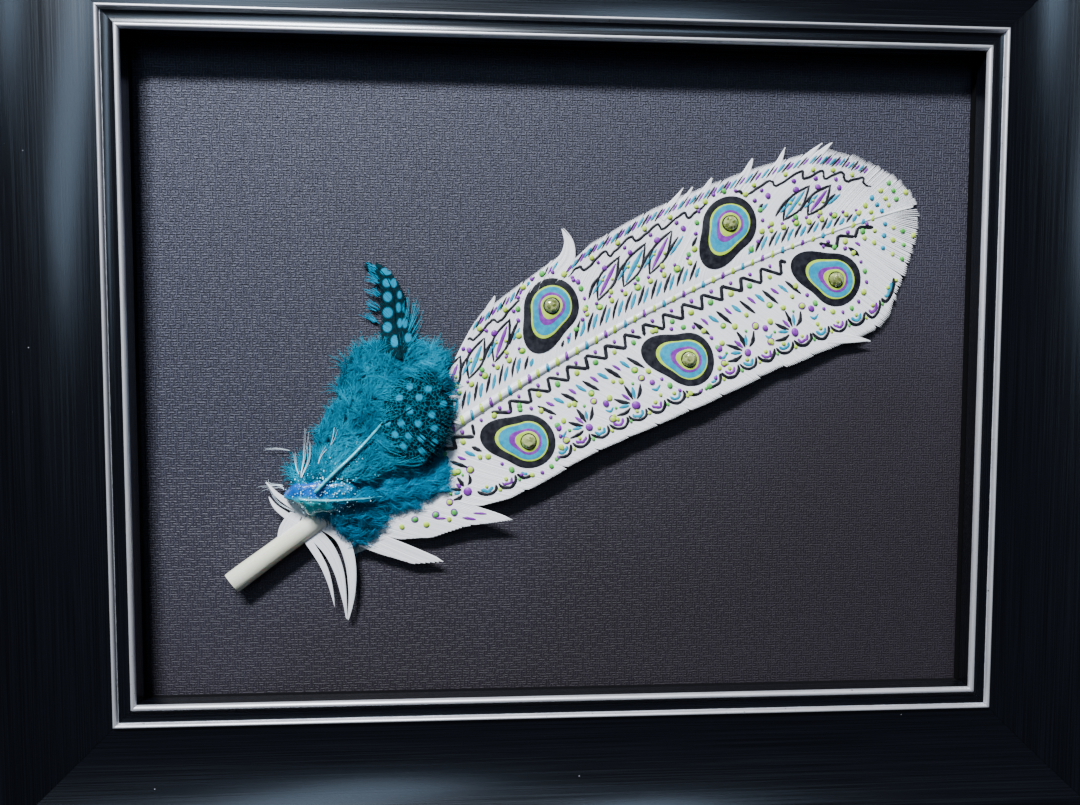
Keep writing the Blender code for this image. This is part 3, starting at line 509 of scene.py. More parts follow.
def weave_group():
    """Embossed linen: short threads, level in some places and upright in others, as height and as tops that the board
    lightens as a painted highlight.
    """

    def fill(nodes, source):
        shake = nodes.add("ShaderNodeTexNoise", {"Vector": source["Vector"], "Scale": 380.0, "Detail": 2.0})
        drift = nodes.vector("SUBTRACT", shake.outputs["Color"], (0.5, 0.5, 0.5))
        drift = nodes.vector("MULTIPLY", drift, (0.0009, 0.0009, 0.0))
        axes = nodes.add("ShaderNodeSeparateXYZ", {0: nodes.vector("ADD", source["Vector"], drift)}).outputs
        turn = nodes.math("DIVIDE", 2 * math.pi, source["Pitch"])
        level = nodes.math("COSINE", nodes.math("MULTIPLY", axes[1], turn))
        upright = nodes.math("COSINE", nodes.math("MULTIPLY", axes[0], turn))
        long_x = nodes.noise(nodes.vector("MULTIPLY", source["Vector"], (620.0, 950.0, 1.0)), 1.0, 1.0)
        long_y = nodes.noise(nodes.vector("MULTIPLY", source["Vector"], (950.0, 620.0, 1.0)), 1.0, 1.0)
        choice = nodes.step(nodes.math("SUBTRACT", long_x, long_y), -0.04, 0.04)
        ridge_x = nodes.math("MULTIPLY", nodes.step(level, -0.8, 0.9), choice)
        ridge_y = nodes.math("MULTIPLY", nodes.step(upright, -0.8, 0.9), nodes.math("SUBTRACT", 1.0, choice))
        tops = nodes.math("MAXIMUM", ridge_x, ridge_y)
        fibre = nodes.noise(source["Vector"], 2600.0, 2.0)
        height = nodes.math("ADD", tops, nodes.math("MULTIPLY", fibre, 0.35))
        return [height, tops]

    inputs = [("Vector", VECTOR, None), ("Pitch", FLOAT, 0.0019)]
    return shader_group("weave", inputs, [("Height", FLOAT), ("Tops", FLOAT)], fill)


def socket_of(shader, key):
    """The shader's input whose name in lower case is the key."""
    return next(item for item in shader.inputs if item.name.lower().replace(" ", "_") == key)


def new_material(name, roughness=0.5, **uniform):
    """A material with its Principled shader and node helper. Uniform values go on the shader's own sockets."""
    made = bpy.data.materials.new(name)
    made.use_nodes = True
    shader = made.node_tree.nodes["Principled BSDF"]
    shader.inputs["Roughness"].default_value = roughness
    for key, value in uniform.items():
        socket_of(shader, key).default_value = value
    return made, Nodes(made.node_tree), shader


def feed(nodes, shader, **inputs):
    """Links outputs to the shader's sockets, or sets their values."""
    for key, value in inputs.items():
        socket = socket_of(shader, key)
        if isinstance(value, bpy.types.NodeSocket):
            nodes.tree.links.new(value, socket)
        elif socket.type == "RGBA":
            socket.default_value = (*value, 1.0)
        else:
            socket.default_value = value


def attribute(nodes, name):
    return nodes.add("ShaderNodeAttribute", attribute_name=name).outputs["Fac"]


def object_vector(nodes):
    return nodes.add("ShaderNodeTexCoord").outputs["Object"]


# The frame


def arc(centre, radius, start, end, count):
    """Points of an arc in a profile, from one angle to another in degrees."""
    angles = np.radians(np.linspace(start, end, count))
    return np.stack([centre[0] + radius * np.cos(angles), centre[1] + radius * np.sin(angles)], 1)


def bead(start, width, crown, foot):
    """Half ellipse of a bead from start outwards, with its crown at a height and its foot at another."""
    angles = np.linspace(math.pi, 0, 15)
    return np.stack([start + width / 2 * (1 + np.cos(angles)), foot + (crown - foot) * np.sin(angles)], 1)


def rail_profile():
    """The moulding's section: distance outwards from the opening and height above the back, with its arc length.

    The arc length is 0 at the inner bead's start, so it is negative down the lip's inner side.
    """
    foot = LIP_FRONT - CHANNEL_DEPTH
    line_start = BEAD_WIDTH + CHANNEL_WIDTH
    scoop_start = line_start + LINE_WIDTH
    turn = math.degrees(math.asin(SCOOP_WIDTH / SCOOP_RADIUS))
    scoop = arc((scoop_start, foot + SCOOP_RADIUS), SCOOP_RADIUS, -90, -90 + turn, 26)
    radians = math.radians(turn)
    crown_centre = (
        scoop[-1][0] + RIDGE_RADIUS * math.sin(radians),
        scoop[-1][1] - RIDGE_RADIUS * math.cos(radians),
    )
    crown = arc(crown_centre, RIDGE_RADIUS, 90 + turn, 0, 22)[1:]
    outside = crown[-1][0]
    share = np.linspace(0, 1, 9)[1:-1]
    sag = 4 * CHANNEL_SAG * share * (1 - share)
    channel = np.stack([BEAD_WIDTH + CHANNEL_WIDTH * share, foot - sag], 1)
    lip = LIP_FRONT - LIP_THICKNESS
    front = np.concatenate([
        [(0, lip)], bead(0, BEAD_WIDTH, LIP_FRONT, foot), channel,
        bead(line_start, LINE_WIDTH, LIP_FRONT, foot), scoop[1:], crown,
    ])
    back = np.array([
        (outside, BACK_CHAMFER), (outside - BACK_CHAMFER, 0), (RABBET_WIDTH, 0), (RABBET_WIDTH, lip),
    ])
    profile = np.concatenate([front, back])
    reach = np.where(np.arange(len(profile)) == 0, lip - foot, profile[:, 0])
    wall = np.arange(len(profile)) >= len(front)
    return profile, np.where(wall, outside + 10.0, reach)


def frame_material():
    """Black lacquer with two brushed silver beads, told apart by the distance across the moulding."""
    made, nodes, shader = new_material("frame_lacquer", specular_ior_level=0.6, coat_weight=0.5, coat_roughness=0.2)
    socket_of(shader, "specular_tint").default_value = (0.78, 0.87, 1.0, 1.0)
    uv = nodes.add("ShaderNodeUVMap", uv_map="UVMap").outputs[0]
    across = nodes.add("ShaderNodeSeparateXYZ", {0: uv}).outputs[1]
    shift = nodes.noise(nodes.vector("MULTIPLY", uv, (0.35, 0.5, 1.0)), 1.0, 3.0)
    wander = nodes.math("MULTIPLY", nodes.math("SUBTRACT", shift, 0.5), 0.22)
    inner = nodes.math("ABSOLUTE", nodes.math("SUBTRACT", nodes.math("ADD", across, wander), BEAD_WIDTH / 3))
    middle = BEAD_WIDTH + CHANNEL_WIDTH + LINE_WIDTH / 2
    outer = nodes.math("ABSOLUTE", nodes.math("SUBTRACT", nodes.math("ADD", across, wander), middle))
    beads = nodes.math(
        "MAXIMUM",
        nodes.step(inner, BEAD_WIDTH / 3 + 0.2, BEAD_WIDTH / 3),
        nodes.step(outer, LINE_WIDTH / 2 + 0.3, LINE_WIDTH / 2 + 0.1),
    )
    nicks = nodes.noise(nodes.vector("MULTIPLY", uv, (0.5, 2.2, 1.0)), 1.0, 4.0, 0.7)
    silver = nodes.math("MULTIPLY", beads, nodes.step(nicks, 0.3, 0.37))
    streak = use_group(nodes, grain_group(), Vector=uv, Length=0.012, Width=2.2)["Streak"]
    brush = use_group(nodes, grain_group(), Vector=uv, Length=0.05, Width=6.0)["Streak"]
    speck = use_group(nodes, dust_group(), Vector=object_vector(nodes), Density=190.0, Share=0.13, Size=0.045)
    black = nodes.mix(streak, (0.0008, 0.0009, 0.0016), (0.0024, 0.0029, 0.005))
    metal = nodes.mix(brush, (0.5, 0.5, 0.54), (0.78, 0.78, 0.83))
    colour = nodes.mix(silver, black, metal)
    colour = nodes.mix(speck["Speck"], colour, (0.3, 0.3, 0.34))
    rough = nodes.math("ADD", nodes.math("MULTIPLY", streak, 0.1), 0.2)
    rough = nodes.math("ADD", rough, nodes.math("MULTIPLY", silver, 0.2))
    height = nodes.math("ADD", nodes.math("MULTIPLY", streak, 0.5), nodes.math("MULTIPLY", brush, silver))
    feed(
        nodes, shader, base_color=colour, metallic=nodes.math("MULTIPLY", silver, 0.55), roughness=rough,
        normal=nodes.bump(height, 0.00003, 0.2),
    )
    return made


def build_rails():
    """Four mitred rails, each the profile carried along one side of the opening and turned by quarter turns."""
    finish = frame_material()
    profile, across = rail_profile()
    outwards, height = profile.T
    ring = len(profile)
    for name, turns in (("rail_top", 0), ("rail_left", 1), ("rail_bottom", 2), ("rail_right", 3)):
        length, reach = (SIGHT_WIDTH, SIGHT_HEIGHT) if turns % 2 == 0 else (SIGHT_HEIGHT, SIGHT_WIDTH)
        end = length / 2 + outwards - GAP / 4
        side = reach / 2 + outwards
        stations = np.linspace(-1, 1, 9)[:, None]
        x = stations * end[None]
        y, z = np.broadcast_to(side, x.shape), np.broadcast_to(height, x.shape)
        angle = math.radians(90 * turns)
        turned = np.stack([x * math.cos(angle) - y * math.sin(angle), x * math.sin(angle) + y * math.cos(angle), z], -1)
        quads = grid_quads(len(stations), ring, around=True)[:, ::-1]
        loop = np.arange(ring)
        caps = np.stack([loop, (loop + (len(stations) - 1) * ring)[::-1]])
        uv = np.stack([x + 900 * turns, np.broadcast_to(across, x.shape)], -1).reshape(-1, 2)
        made = mesh_object(f"{name}_finish", turned.reshape(-1, 3), [quads, caps], finish, uv=uv)
        smooth_by_angle(made, 35)
        place(made, "frame_black", name)


def smooth_by_angle(made, degrees):
    """Keeps edges sharper than the angle crisp."""
    mesh = made.data
    normal = np.empty(len(mesh.polygons) * 3)
    mesh.polygons.foreach_get("normal", normal)
    normal = normal.reshape(-1, 3)
    corner = np.empty(len(mesh.loops), int)
    mesh.loops.foreach_get("edge_index", corner)
    total = np.empty(len(mesh.polygons), int)
    mesh.polygons.foreach_get("loop_total", total)
    face = np.repeat(np.arange(len(total)), total)
    order = np.argsort(corner, kind="stable")
    first, second = order[0::2], order[1::2]
    cosine = (normal[face[first]] * normal[face[second]]).sum(1)
    sharp = np.zeros(len(mesh.edges), bool)
    sharp[corner[first]] = cosine < math.cos(math.radians(degrees))
    stored = mesh.attributes.new("sharp_edge", "BOOLEAN", "EDGE")
    stored.data.foreach_set("value", sharp)


def board_material(settings):
    made, nodes, shader = new_material("embossed_linen", roughness=0.55, specular_ior_level=0.5)
    vector = object_vector(nodes)
    weave = use_group(nodes, weave_group(), Vector=vector, Pitch=settings.pitch)
    axes = nodes.add("ShaderNodeSeparateXYZ", {0: vector}).outputs
    # Painted glare: the board's colour runs from a paler blue at the upper left to a dark purple at the lower right,
    # broken by cloud noise, standing in for the window's sheen. The same gradient also weakens the bump towards the
    # lower right.
    slope = nodes.math("SUBTRACT", nodes.math("MULTIPLY", axes[0], 1.3), nodes.math("MULTIPLY", axes[1], 3.0))
    cloud = nodes.math("MULTIPLY", nodes.noise(vector, 12.0, 2.0), 0.3)
    painted_glare = nodes.step(nodes.math("ADD", slope, cloud), -0.4, 0.55)
    low = nodes.mix(painted_glare, (0.03, 0.032, 0.054), (0.0105, 0.0075, 0.0115))
    high = nodes.mix(painted_glare, (0.08, 0.086, 0.132), (0.0215, 0.0165, 0.0245))
    # Painted highlight: the tops of the embossed threads take the lighter colour.
    colour = nodes.mix(weave["Tops"], low, high)
    speck = use_group(nodes, dust_group(), Vector=vector, Density=120.0, Share=0.03, Size=0.05)["Speck"]
    feed(
        nodes, shader, base_color=nodes.mix(speck, colour, (0.55, 0.55, 0.55)),
        normal=nodes.bump(nodes.math("MULTIPLY", weave["Height"], nodes.step(painted_glare, 0.0, 0.8, 2.0, 0.35)), 0.0003, 1.0),
    )
    return made


def build_board(settings):
    """The board's slab, with its face as a fine grid that undulates by a tenth of a millimetre."""
    half_x = SIGHT_WIDTH / 2 + RABBET_WIDTH - RABBET_CLEARANCE
    half_y = SIGHT_HEIGHT / 2 + RABBET_WIDTH - RABBET_CLEARANCE
    x, y = np.meshgrid(np.linspace(-half_x, half_x, 90), np.linspace(-half_y, half_y, 70))
    wave = 0.05 * (np.sin(x / 31) * np.cos(y / 27) - 1)
    top = np.stack([x, y, BOARD_FACE + wave], -1).reshape(-1, 3)
    bottom = top * [1, 1, 0] + [0, 0, BOARD_FACE - BOARD_THICKNESS]
    points, faces = close_sheet(top, bottom, grid_quads(*x.shape))
    made = mesh_object("linen_board_finish", points, faces, board_material(settings))
    smooth_by_angle(made, 35)
    place(made, "linen_board", "linen_board")


def build_hardware():
    """Procedural finishes for the solids that stay: spacers, backing panel, tabs, hanger and rivets."""
    black, nodes, shader = new_material("spacer_paper", roughness=0.9, specular_ior_level=0.1)
    tone = nodes.noise(object_vector(nodes), 900.0, 2.0)
    feed(nodes, shader, base_color=nodes.mix(tone, (0.0015, 0.0015, 0.002), (0.004, 0.004, 0.005)))
    brown, nodes, shader = new_material("hardboard", roughness=0.7)
    vector = object_vector(nodes)
    tone = nodes.noise(nodes.vector("MULTIPLY", vector, (1.0, 2.0, 1.0)), 420.0, 5.0, 0.7)
    feed(
        nodes, shader, base_color=nodes.mix(tone, (0.16, 0.085, 0.045), (0.31, 0.19, 0.11)),
        normal=nodes.bump(tone, 0.0002, 0.4),
    )
    steel, nodes, shader = new_material("zinc_steel", metallic=1.0)
    vector = object_vector(nodes)
    tone = nodes.noise(vector, 300.0, 4.0)
    feed(
        nodes, shader, base_color=nodes.mix(tone, (0.5, 0.5, 0.51), (0.72, 0.72, 0.73)),
        roughness=nodes.step(tone, 0.3, 0.7, 0.28, 0.45),
    )
    finishes = {
        "spacer_top": black, "spacer_bottom": black, "spacer_left": black, "spacer_right": black,
        "backing_panel": brown, "sawtooth_hanger": steel, "hanger_rivet_left": steel, "hanger_rivet_right": steel,
    }
    finishes.update({f"retaining_tab_{number}": steel for number in range(1, 9)})
    for name, finish in finishes.items():
        node = frame["nodes"][name]
        node.data.materials.clear()
        node.data.materials.append(finish)


# The white feather


def feather_material():
    """White keratin of the vane, each barb a shade of its own, with painted shade making it a little greyer at its root
    by the shaft.
    """
    made, nodes, shader = new_material("white_barbs", roughness=0.6, specular_ior_level=0.3)
    tone = attribute(nodes, "tone")
    share = attribute(nodes, "share")
    white = nodes.mix(tone, (0.8, 0.81, 0.85), (0.93, 0.935, 0.97))
    cloud = nodes.noise(object_vector(nodes), 60.0, 3.0)
    white = nodes.mix(nodes.step(cloud, 0.5, 0.8, 0.0, 0.2), white, (0.7, 0.71, 0.77))
    # Painted shade: the first stretch of each barb beside the shaft is greyed.
    root = nodes.step(share, 0.0, 0.12, 0.35, 0.0)
    feed(nodes, shader, base_color=nodes.mix(root, white, (0.6, 0.6, 0.63)))
    return made


def vane_barbs(side, groups, pitch, stations, seed):
    """Paths and half widths of a vane's barbs in (s, t): each leaves the shaft, sweeps to its end and tapers.

    Barbs of one lock draw together near their ends, so slits open between locks. Groups part only past a tear.
    """
    random = np.random.default_rng(seed)
    share = np.linspace(0, 1, stations)
    joins = {
        second[2][0][0]: (np.array(first[2][-1][1:]) + second[2][0][1:]) / 2
        for first, second in zip(groups, groups[1:], strict=False)
    }
    paths, half = [], []
    for locks, opens, knots in groups:
        table = np.array(knots, float)
        roots = np.arange(table[0, 0], table[-1, 0], pitch)
        count = len(roots)
        roots = roots + random.normal(0, 0.04 * pitch, count)
        ends = np.stack([np.interp(roots, table[:, 0], table[:, k]) for k in (1, 2)], 1)
        # Locks of uneven width, and where each barb lies across its own
        widths = random.uniform(0.5, 1.6, locks)
        bounds = np.concatenate([[0], np.cumsum(widths) / widths.sum()])
        position = np.linspace(0, 1, count)
        lock = np.clip(np.searchsorted(bounds, position, "right") - 1, 0, locks - 1)
        size = bounds[lock + 1] - bounds[lock]
        inside = (position - (bounds[lock] + bounds[lock + 1]) / 2) / size * 2
        opening = (opens + random.uniform(-0.08, 0.04, locks))[lock]
        draw = random.uniform(0.2, 0.7, locks)[lock]
        spread = np.clip((share[None] - opening[:, None]) / (1 - opening[:, None]), 0, 1) ** 1.3
        reach = 1 - 0.005 * inside**2 - random.uniform(0, 0.004, count) + random.normal(0, 0.005, locks)[lock]
        length = share[None] * reach[:, None]
        # Each barb's end as seen from every station: next to a tear it is shared up to where the tear opens
        aim = np.repeat(ends[:, None], stations, axis=1)
        for row in (0, -1):
            root = knots[row][0]
            if root in TEARS:
                near = np.exp(-np.abs(roots - root) / 6.0)[:, None]
                joined = near * (1 - np.clip((share[None] - TEARS[root]) / (1 - TEARS[root]), 0, 1))
                aim = aim + joined[..., None] * (joins[root] - table[row, 1:])
        start = side * 0.3 * shaft_radius(roots)
        s = roots[:, None] + (aim[..., 0] - roots[:, None]) * length**BARB_SWEEP
        s = s - (inside * draw)[:, None] * spread
        t = start[:, None] + (aim[..., 1] - start[:, None]) * length
        paths.append(np.stack([s, t], -1))
        gap = np.linalg.norm(np.diff(paths[-1], axis=0), axis=2)
        gap = np.concatenate([gap, gap[-1:]])
        # Spacing across the barbs rather than along the shaft
        step = np.gradient(paths[-1], axis=1)
        lean = np.abs(step[..., 1]) / (np.linalg.norm(step, axis=2) + 1e-9)
        width = np.clip(gap * lean, 0.25, 1.1) * 0.64
        tip = np.clip((1 - share[None]) / 0.04, 0, 1) ** 0.7
        half.append(width * (0.2 + 0.8 * tip))
    return np.concatenate(paths), np.concatenate(half)


BARB_SECTION = [(1.0, -0.4), (0.3, 0.0), (-1.0, -0.12), (0.0, -1.0)]


def strand_barbs(middle, width, seed, stations):
    """Barbs of a loose strand, as (s, t) paths side by side that draw together to its point."""
    random = np.random.default_rng(seed)
    line = spline(middle, stations)
    across = np.gradient(line, axis=0)
    across = np.stack([-across[:, 1], across[:, 0]], 1) / np.linalg.norm(across, axis=1)[:, None]
    count = max(4, int(width / 0.6))
    share = np.linspace(0, 1, stations)
    offset = np.linspace(-0.5, 0.5, count)[:, None] * width * (1 - share[None] ** 1.7 * 0.97)
    offset = offset + random.normal(0, 0.12, (count, 1)) * share[None]
    cut = 1 - 0.1 * random.random(count)[:, None] * (np.abs(np.linspace(-1, 1, count))[:, None])
    index = share[None] * cut * (stations - 1)
    paths = np.stack([
        np.interp(index, np.arange(stations), line[:, k]) + np.interp(index, np.arange(stations), across[:, k]) * offset
        for k in (0, 1)
    ], -1)
    half = np.clip(width / count * 0.75 * (1 - 0.75 * share[None] ** 3), 0.08, 1) * np.ones((count, 1))
    return paths, half


def build_vane(name, side, groups, settings, finish, seed):
    """One vane as barbs laid like shingles, with its loose strands."""
    stations = 22
    paths, half = vane_barbs(side, groups, settings.barb_pitch / MM, stations, seed)
    lift = np.zeros(half.shape)
    first = len(paths)
    for number, (middle, width) in enumerate(STRANDS.values()):
        if (middle[-1][1] > 0) == (side > 0):
            extra, extra_half = strand_barbs(middle, width, seed + number, stations)
            paths, half = np.concatenate([paths, extra]), np.concatenate([half, extra_half])
            lift = np.concatenate([lift, np.full(extra_half.shape, 0.15)])
    count = len(paths)
    whole = np.arange(count) < first
    random = np.random.default_rng(seed + 99)
    depth = settings.barb_depth / MM
    lift = lift + random.normal(0, 0.03, (count, 1))
    solid = np.concatenate([on_board(*np.moveaxis(paths, -1, 0)), (vane_height(*np.moveaxis(paths, -1, 0)) + lift)[..., None]], -1)
    points, faces, number, share = sweep(solid, half, np.full(half.shape, depth), BARB_SECTION)
    shade = np.clip(random.normal(0.65, np.where(whole, 0.1, 0.4)), 0, 1)
    made = mesh_object(name, points, faces, finish, smooth=False, values={"tone": shade[number], "share": share})
    place(made, "white_feather", "white_feather")


def shaft_material():
    """Ivory calamus that whitens along the shaft, with faint streaks, a painted brown shade on its underside and
    painted shade in its bore at the cut end.
    """
    made, nodes, shader = new_material("quill_horn", roughness=0.34, subsurface_weight=0.08, coat_weight=0.15)
    uv = nodes.add("ShaderNodeUVMap", uv_map="UVMap").outputs[0]
    along, around = nodes.add("ShaderNodeSeparateXYZ", {0: uv}).outputs[:2]
    streak = use_group(nodes, grain_group(), Vector=uv, Length=0.05, Width=7.0)["Streak"]
    ivory = nodes.mix(streak, (0.78, 0.76, 0.57), (0.86, 0.85, 0.7))
    white = nodes.mix(streak, (0.8, 0.8, 0.8), (0.9, 0.9, 0.9))
    colour = nodes.mix(nodes.step(along, 20.0, 85.0), ivory, white)
    # Painted shade: the lower half of the tube turns brown, most strongly near the calamus.
    low = nodes.step(around, 0.3, -0.9)
    brown = nodes.math("MULTIPLY", low, nodes.step(along, 110.0, 40.0, 0.15, 0.85))
    colour = nodes.mix(brown, colour, (0.42, 0.33, 0.2))
    # Painted shade: the bore and the cut end are darkened.
    rim = nodes.step(along, 1.2, -0.4, 0.0, 0.55)
    colour = nodes.mix(rim, colour, (0.35, 0.28, 0.19))
    feed(nodes, shader, base_color=colour, normal=nodes.bump(streak, 0.00008, 0.4))
    return made


def build_shaft(finish):
    """The quill: a tube of changing radius, its end cut aslant and bored, with a groove along the rachis."""
    sides = 28
    angles = np.arange(sides) * 2 * math.pi / sides
    s = np.concatenate([np.linspace(0, 60, 50), np.linspace(60, SHAFT_LENGTH, 170)[1:]])
    radius = shaft_radius(s)
    ellipse = 1 - 0.1 * np.clip((60 - s) / 60, 0, 1)
    slant = CUT_SLANT * np.sin(angles)[None] * np.clip(1 - s / 8, 0, 1)[:, None]
    wobble = 1 + 0.02 * np.sin(s / 4.7) * np.clip((55 - s) / 55, 0, 1)
    across = radius[:, None] * np.cos(angles)[None] * wobble[:, None]
    upward = radius[:, None] * np.sin(angles)[None] * ellipse[:, None]
    place_s = s[:, None] + slant
    plan = on_board(place_s, across)
    height = shaft_underside(s)[:, None] + radius[:, None] * ellipse[:, None] + upward
    outer = np.concatenate([plan, height[..., None]], -1)
    # The bore: three rings going in from the cut
    bore_s = np.array([0.15, 0.4, 6.0])
    share = np.array([0.84, 0.76, 0.5])
    bore_slant = CUT_SLANT * np.sin(angles)[None] * np.array([1, 1, 0.4])[:, None]
    bore_across = CALAMUS * share[:, None] * np.cos(angles)[None]
    bore_up = CALAMUS * share[:, None] * np.sin(angles)[None] * 0.9
    bore_plan = on_board(bore_s[:, None] + bore_slant, bore_across)
    bore_height = BOARD_FACE + GAP + CALAMUS * 0.9 + bore_up
    bore = np.concatenate([bore_plan, bore_height[..., None]], -1)[::-1]
    rings = np.concatenate([bore, outer])
    rows = len(rings)
    quads = grid_quads(rows, sides, around=True)
    loop = np.arange(sides)
    caps = np.stack([loop[::-1], loop + (rows - 1) * sides])
    along = np.concatenate([-bore_s[::-1, None] * np.ones((1, sides)), place_s])
    around = np.broadcast_to(np.sin(angles), (rows, sides))
    uv = np.stack([along, around * 1.0], -1).reshape(-1, 2)
    made = mesh_object("feather_shaft", rings.reshape(-1, 3), [quads, caps], finish, uv=uv)
    smooth_by_angle(made, 50)
    place(made, "white_feather", "white_feather")


CALAMUS = SHAFT_RADII[0][1]


# Plan loops and the relief of the solids


def within(places, loop):
    """Whether each place is inside the closed loop."""
    x, y = places[:, 0][:, None], places[:, 1][:, None]
    ax, ay = loop.T
    bx, by = np.roll(loop, -1, axis=0).T
    crossing = ((ay > y) != (by > y)) & (x < (bx - ax) * (y - ay) / (by - ay + 1e-12) + ax)
    return crossing.sum(1) % 2 == 1


def nearest_on(places, loop, closed=True):
    """Nearest point on the line to each place, with its distance and its share along the line's sides."""
    start, end = (loop, np.roll(loop, -1, axis=0)) if closed else (loop[:-1], loop[1:])
    side = end - start
    share = np.clip(((places[:, None] - start[None]) * side).sum(2) / ((side**2).sum(1) + 1e-12), 0, 1)
    foot = start[None] + share[..., None] * side[None]
    away = np.linalg.norm(places[:, None] - foot, axis=2)
    best = away.argmin(1)
    row = np.arange(len(places))
    return foot[row, best], away[row, best], (best + share[row, best]) / len(start)


def patch(loop, step):
    """Grid points and quads that fill a closed loop, the border points moved onto the loop."""
    low, high = loop.min(0) - step, loop.max(0) + step
    columns, rows = (int(value) + 1 for value in (high - low) / step)
    x, y = np.meshgrid(low[0] + np.arange(columns) * step, low[1] + np.arange(rows) * step)
    places = np.stack([x.ravel(), y.ravel()], 1)
    inside = within(places, loop)
    quads = grid_quads(rows, columns)
    quads = quads[inside[quads].all(1)]
    used = np.unique(quads)
    fresh = np.full(len(places), -1)
    fresh[used] = np.arange(len(used))
    quads, places = fresh[quads], places[used]
    border = np.bincount(quads.ravel(), minlength=len(places)) < 4
    places[border] = nearest_on(places[border], loop)[0]
    return places, quads


def relief(names, blur=2, floor=BOARD_FACE):
    """A lookup of the highest surface of the named solids at plan points, from a raster of one cell a millimetre."""
    low, shape = np.array([-150.0, -100.0]), (350, 210)
    height = np.full(shape, floor)
    share = np.arange(17) / 16
    weights = np.array([(1 - a - b, a, b) for a in share for b in share if a + b < 1.001])
    for name in names:
        mesh = frame["nodes"][name].data
        mesh.calc_loop_triangles()
        corner = np.empty(len(mesh.loop_triangles) * 3, int)
        mesh.loop_triangles.foreach_get("vertices", corner)
        co = np.empty(len(mesh.vertices) * 3)
        mesh.vertices.foreach_get("co", co)
        triangles = co.reshape(-1, 3)[corner].reshape(-1, 3, 3) / MM
        sample = np.einsum("wk,fkc->fwc", weights, triangles).reshape(-1, 3)
        cell = np.rint(sample[:, :2] - low).astype(int)
        np.maximum.at(height, tuple(cell.T), sample[:, 2])
    for _ in range(blur):
        padded = np.pad(height, 1, mode="edge")
        height = sum(padded[a : a + shape[0], b : b + shape[1]] for a in range(3) for b in range(3)) / 9

    def look(places):
        spot = np.clip(np.asarray(places, float)[..., :2] - low, 0, np.array(shape) - 1.001)
        cell = spot.astype(int)
        part = spot - cell
        a, b = cell[..., 0], cell[..., 1]
        u, v = part[..., 0], part[..., 1]
        return (
            height[a, b] * (1 - u) * (1 - v) + height[a + 1, b] * u * (1 - v)
            + height[a, b + 1] * (1 - u) * v + height[a + 1, b + 1] * u * v
        )

    return look


# The dyed plumes


HAIR_SECTION = [(1.0, -0.5), (0.0, 1.0), (-1.0, -0.5)]
FLAT_SECTION = [(1.0, -0.5), (0.3, 0.3), (-1.0, -0.3), (0.0, -1.0)]


def plume_material(name, dark, middle, light, tip):
    """Dyed down: each hair has its tone, with painted shade darkening the hairs set deeper, and ends paler."""
    made, nodes, shader = new_material(name, roughness=0.8, specular_ior_level=0.05)
    tone, share = attribute(nodes, "tone"), attribute(nodes, "share")
    cloud = nodes.noise(object_vector(nodes), 70.0, 2.0)
    level = nodes.math("ADD", nodes.math("MULTIPLY", tone, 0.45), nodes.math("MULTIPLY", cloud, 1.1))
    colour = nodes.mix(nodes.step(level, 0.35, 0.62), dark, middle)
    colour = nodes.mix(nodes.step(level, 0.66, 1.0), colour, light)
    colour = nodes.mix(nodes.step(share, 0.6, 1.0, 0.0, 0.55), colour, tip)
    feed(nodes, shader, base_color=colour)
    return made


def down_hairs(loop, spine, count, length, seed, back=0.3, clump=16):
    """Curved hairs in tufts that fill a loop, as plan paths: each tuft opens outwards and forwards from the spine.

    The hairs of a tuft start near one root and part towards their ends. Returns the paths and their tufts.
    """
    random = np.random.default_rng(seed)
    stations = 6
    tufts = count // clump
    low, high = loop.min(0), loop.max(0)
    candidates = random.uniform(low, high, (tufts * 8, 2))
    centre = candidates[within(candidates, loop)][:tufts]
    tufts = len(centre)
    _, away, share = nearest_on(centre, spine, closed=False)
    line_share = np.linspace(0, 1, len(spine))
    source_share = np.clip(share - back, 0, 1)
    source = np.stack([np.interp(source_share, line_share, spine[:, k]) for k in (0, 1)], 1)
    flow = centre - source
    heading = np.arctan2(flow[:, 1], flow[:, 0]) + random.normal(0, 0.5, tufts)
    reach = random.uniform(0.55, 1.1, tufts) * length
    curl = random.normal(0, 0.3, tufts)
    group = np.repeat(np.arange(tufts), clump)
    total = len(group)

    def way(angle):
        return np.stack([np.cos(angle), np.sin(angle)], 1)

    own = heading[group] + random.normal(0, 0.36, total)
    size = (reach[group] * random.uniform(0.6, 1.05, total))[:, None]
    root = centre[group] - way(heading)[group] * (reach[group] * 0.45)[:, None] + random.normal(0, 0.5, (total, 2))
    middle = root + way(heading[group]) * size * 0.5 + random.normal(0, 0.5, (total, 2))
    end = root + way(own + curl[group]) * size
    w = np.linspace(0, 1, stations)[None, :, None]
    paths = (1 - w) ** 2 * root[:, None] + 2 * w * (1 - w) * middle[:, None] + w**2 * end[:, None]
    return paths, group, random


def add_down(name, loop, spine, count, length, ground, seed, finish, slot, nodes, width=0.11, loft=1.6):
    """A mass of down on its solid: hairs that rise out of it and settle back, as closed three-sided strips."""
    paths, group, random = down_hairs(loop, spine, count, length, seed)
    total, stations = paths.shape[:2]
    w = np.linspace(0, 1, stations)[None]
    level = random.uniform(-1.0, 0.5, group.max() + 1)[group][:, None]
    rise = random.uniform(0.3, 1.0, (total, 1)) * loft
    z = ground(paths) + level + rise * np.sin(math.pi * np.clip(w * 0.85, 0, 1)) - 0.4
    z = np.maximum(z, BOARD_FACE + GAP + 0.3)
    solid = np.concatenate([paths, z[..., None]], -1)
    half = width * (1 - 0.75 * w**1.5) * random.uniform(0.75, 1.3, (total, 1))
    points, faces, number, share = sweep(solid, half, half, HAIR_SECTION)
    # Painted shade: tufts set lower in the mass get a darker tone.
    shade = np.clip(0.5 + 0.28 * level[:, 0] + random.normal(0, 0.16, total), 0, 1)
    made = mesh_object(name, points, faces, finish, values={"tone": shade[number], "share": share})
    return place(made, slot, *nodes)


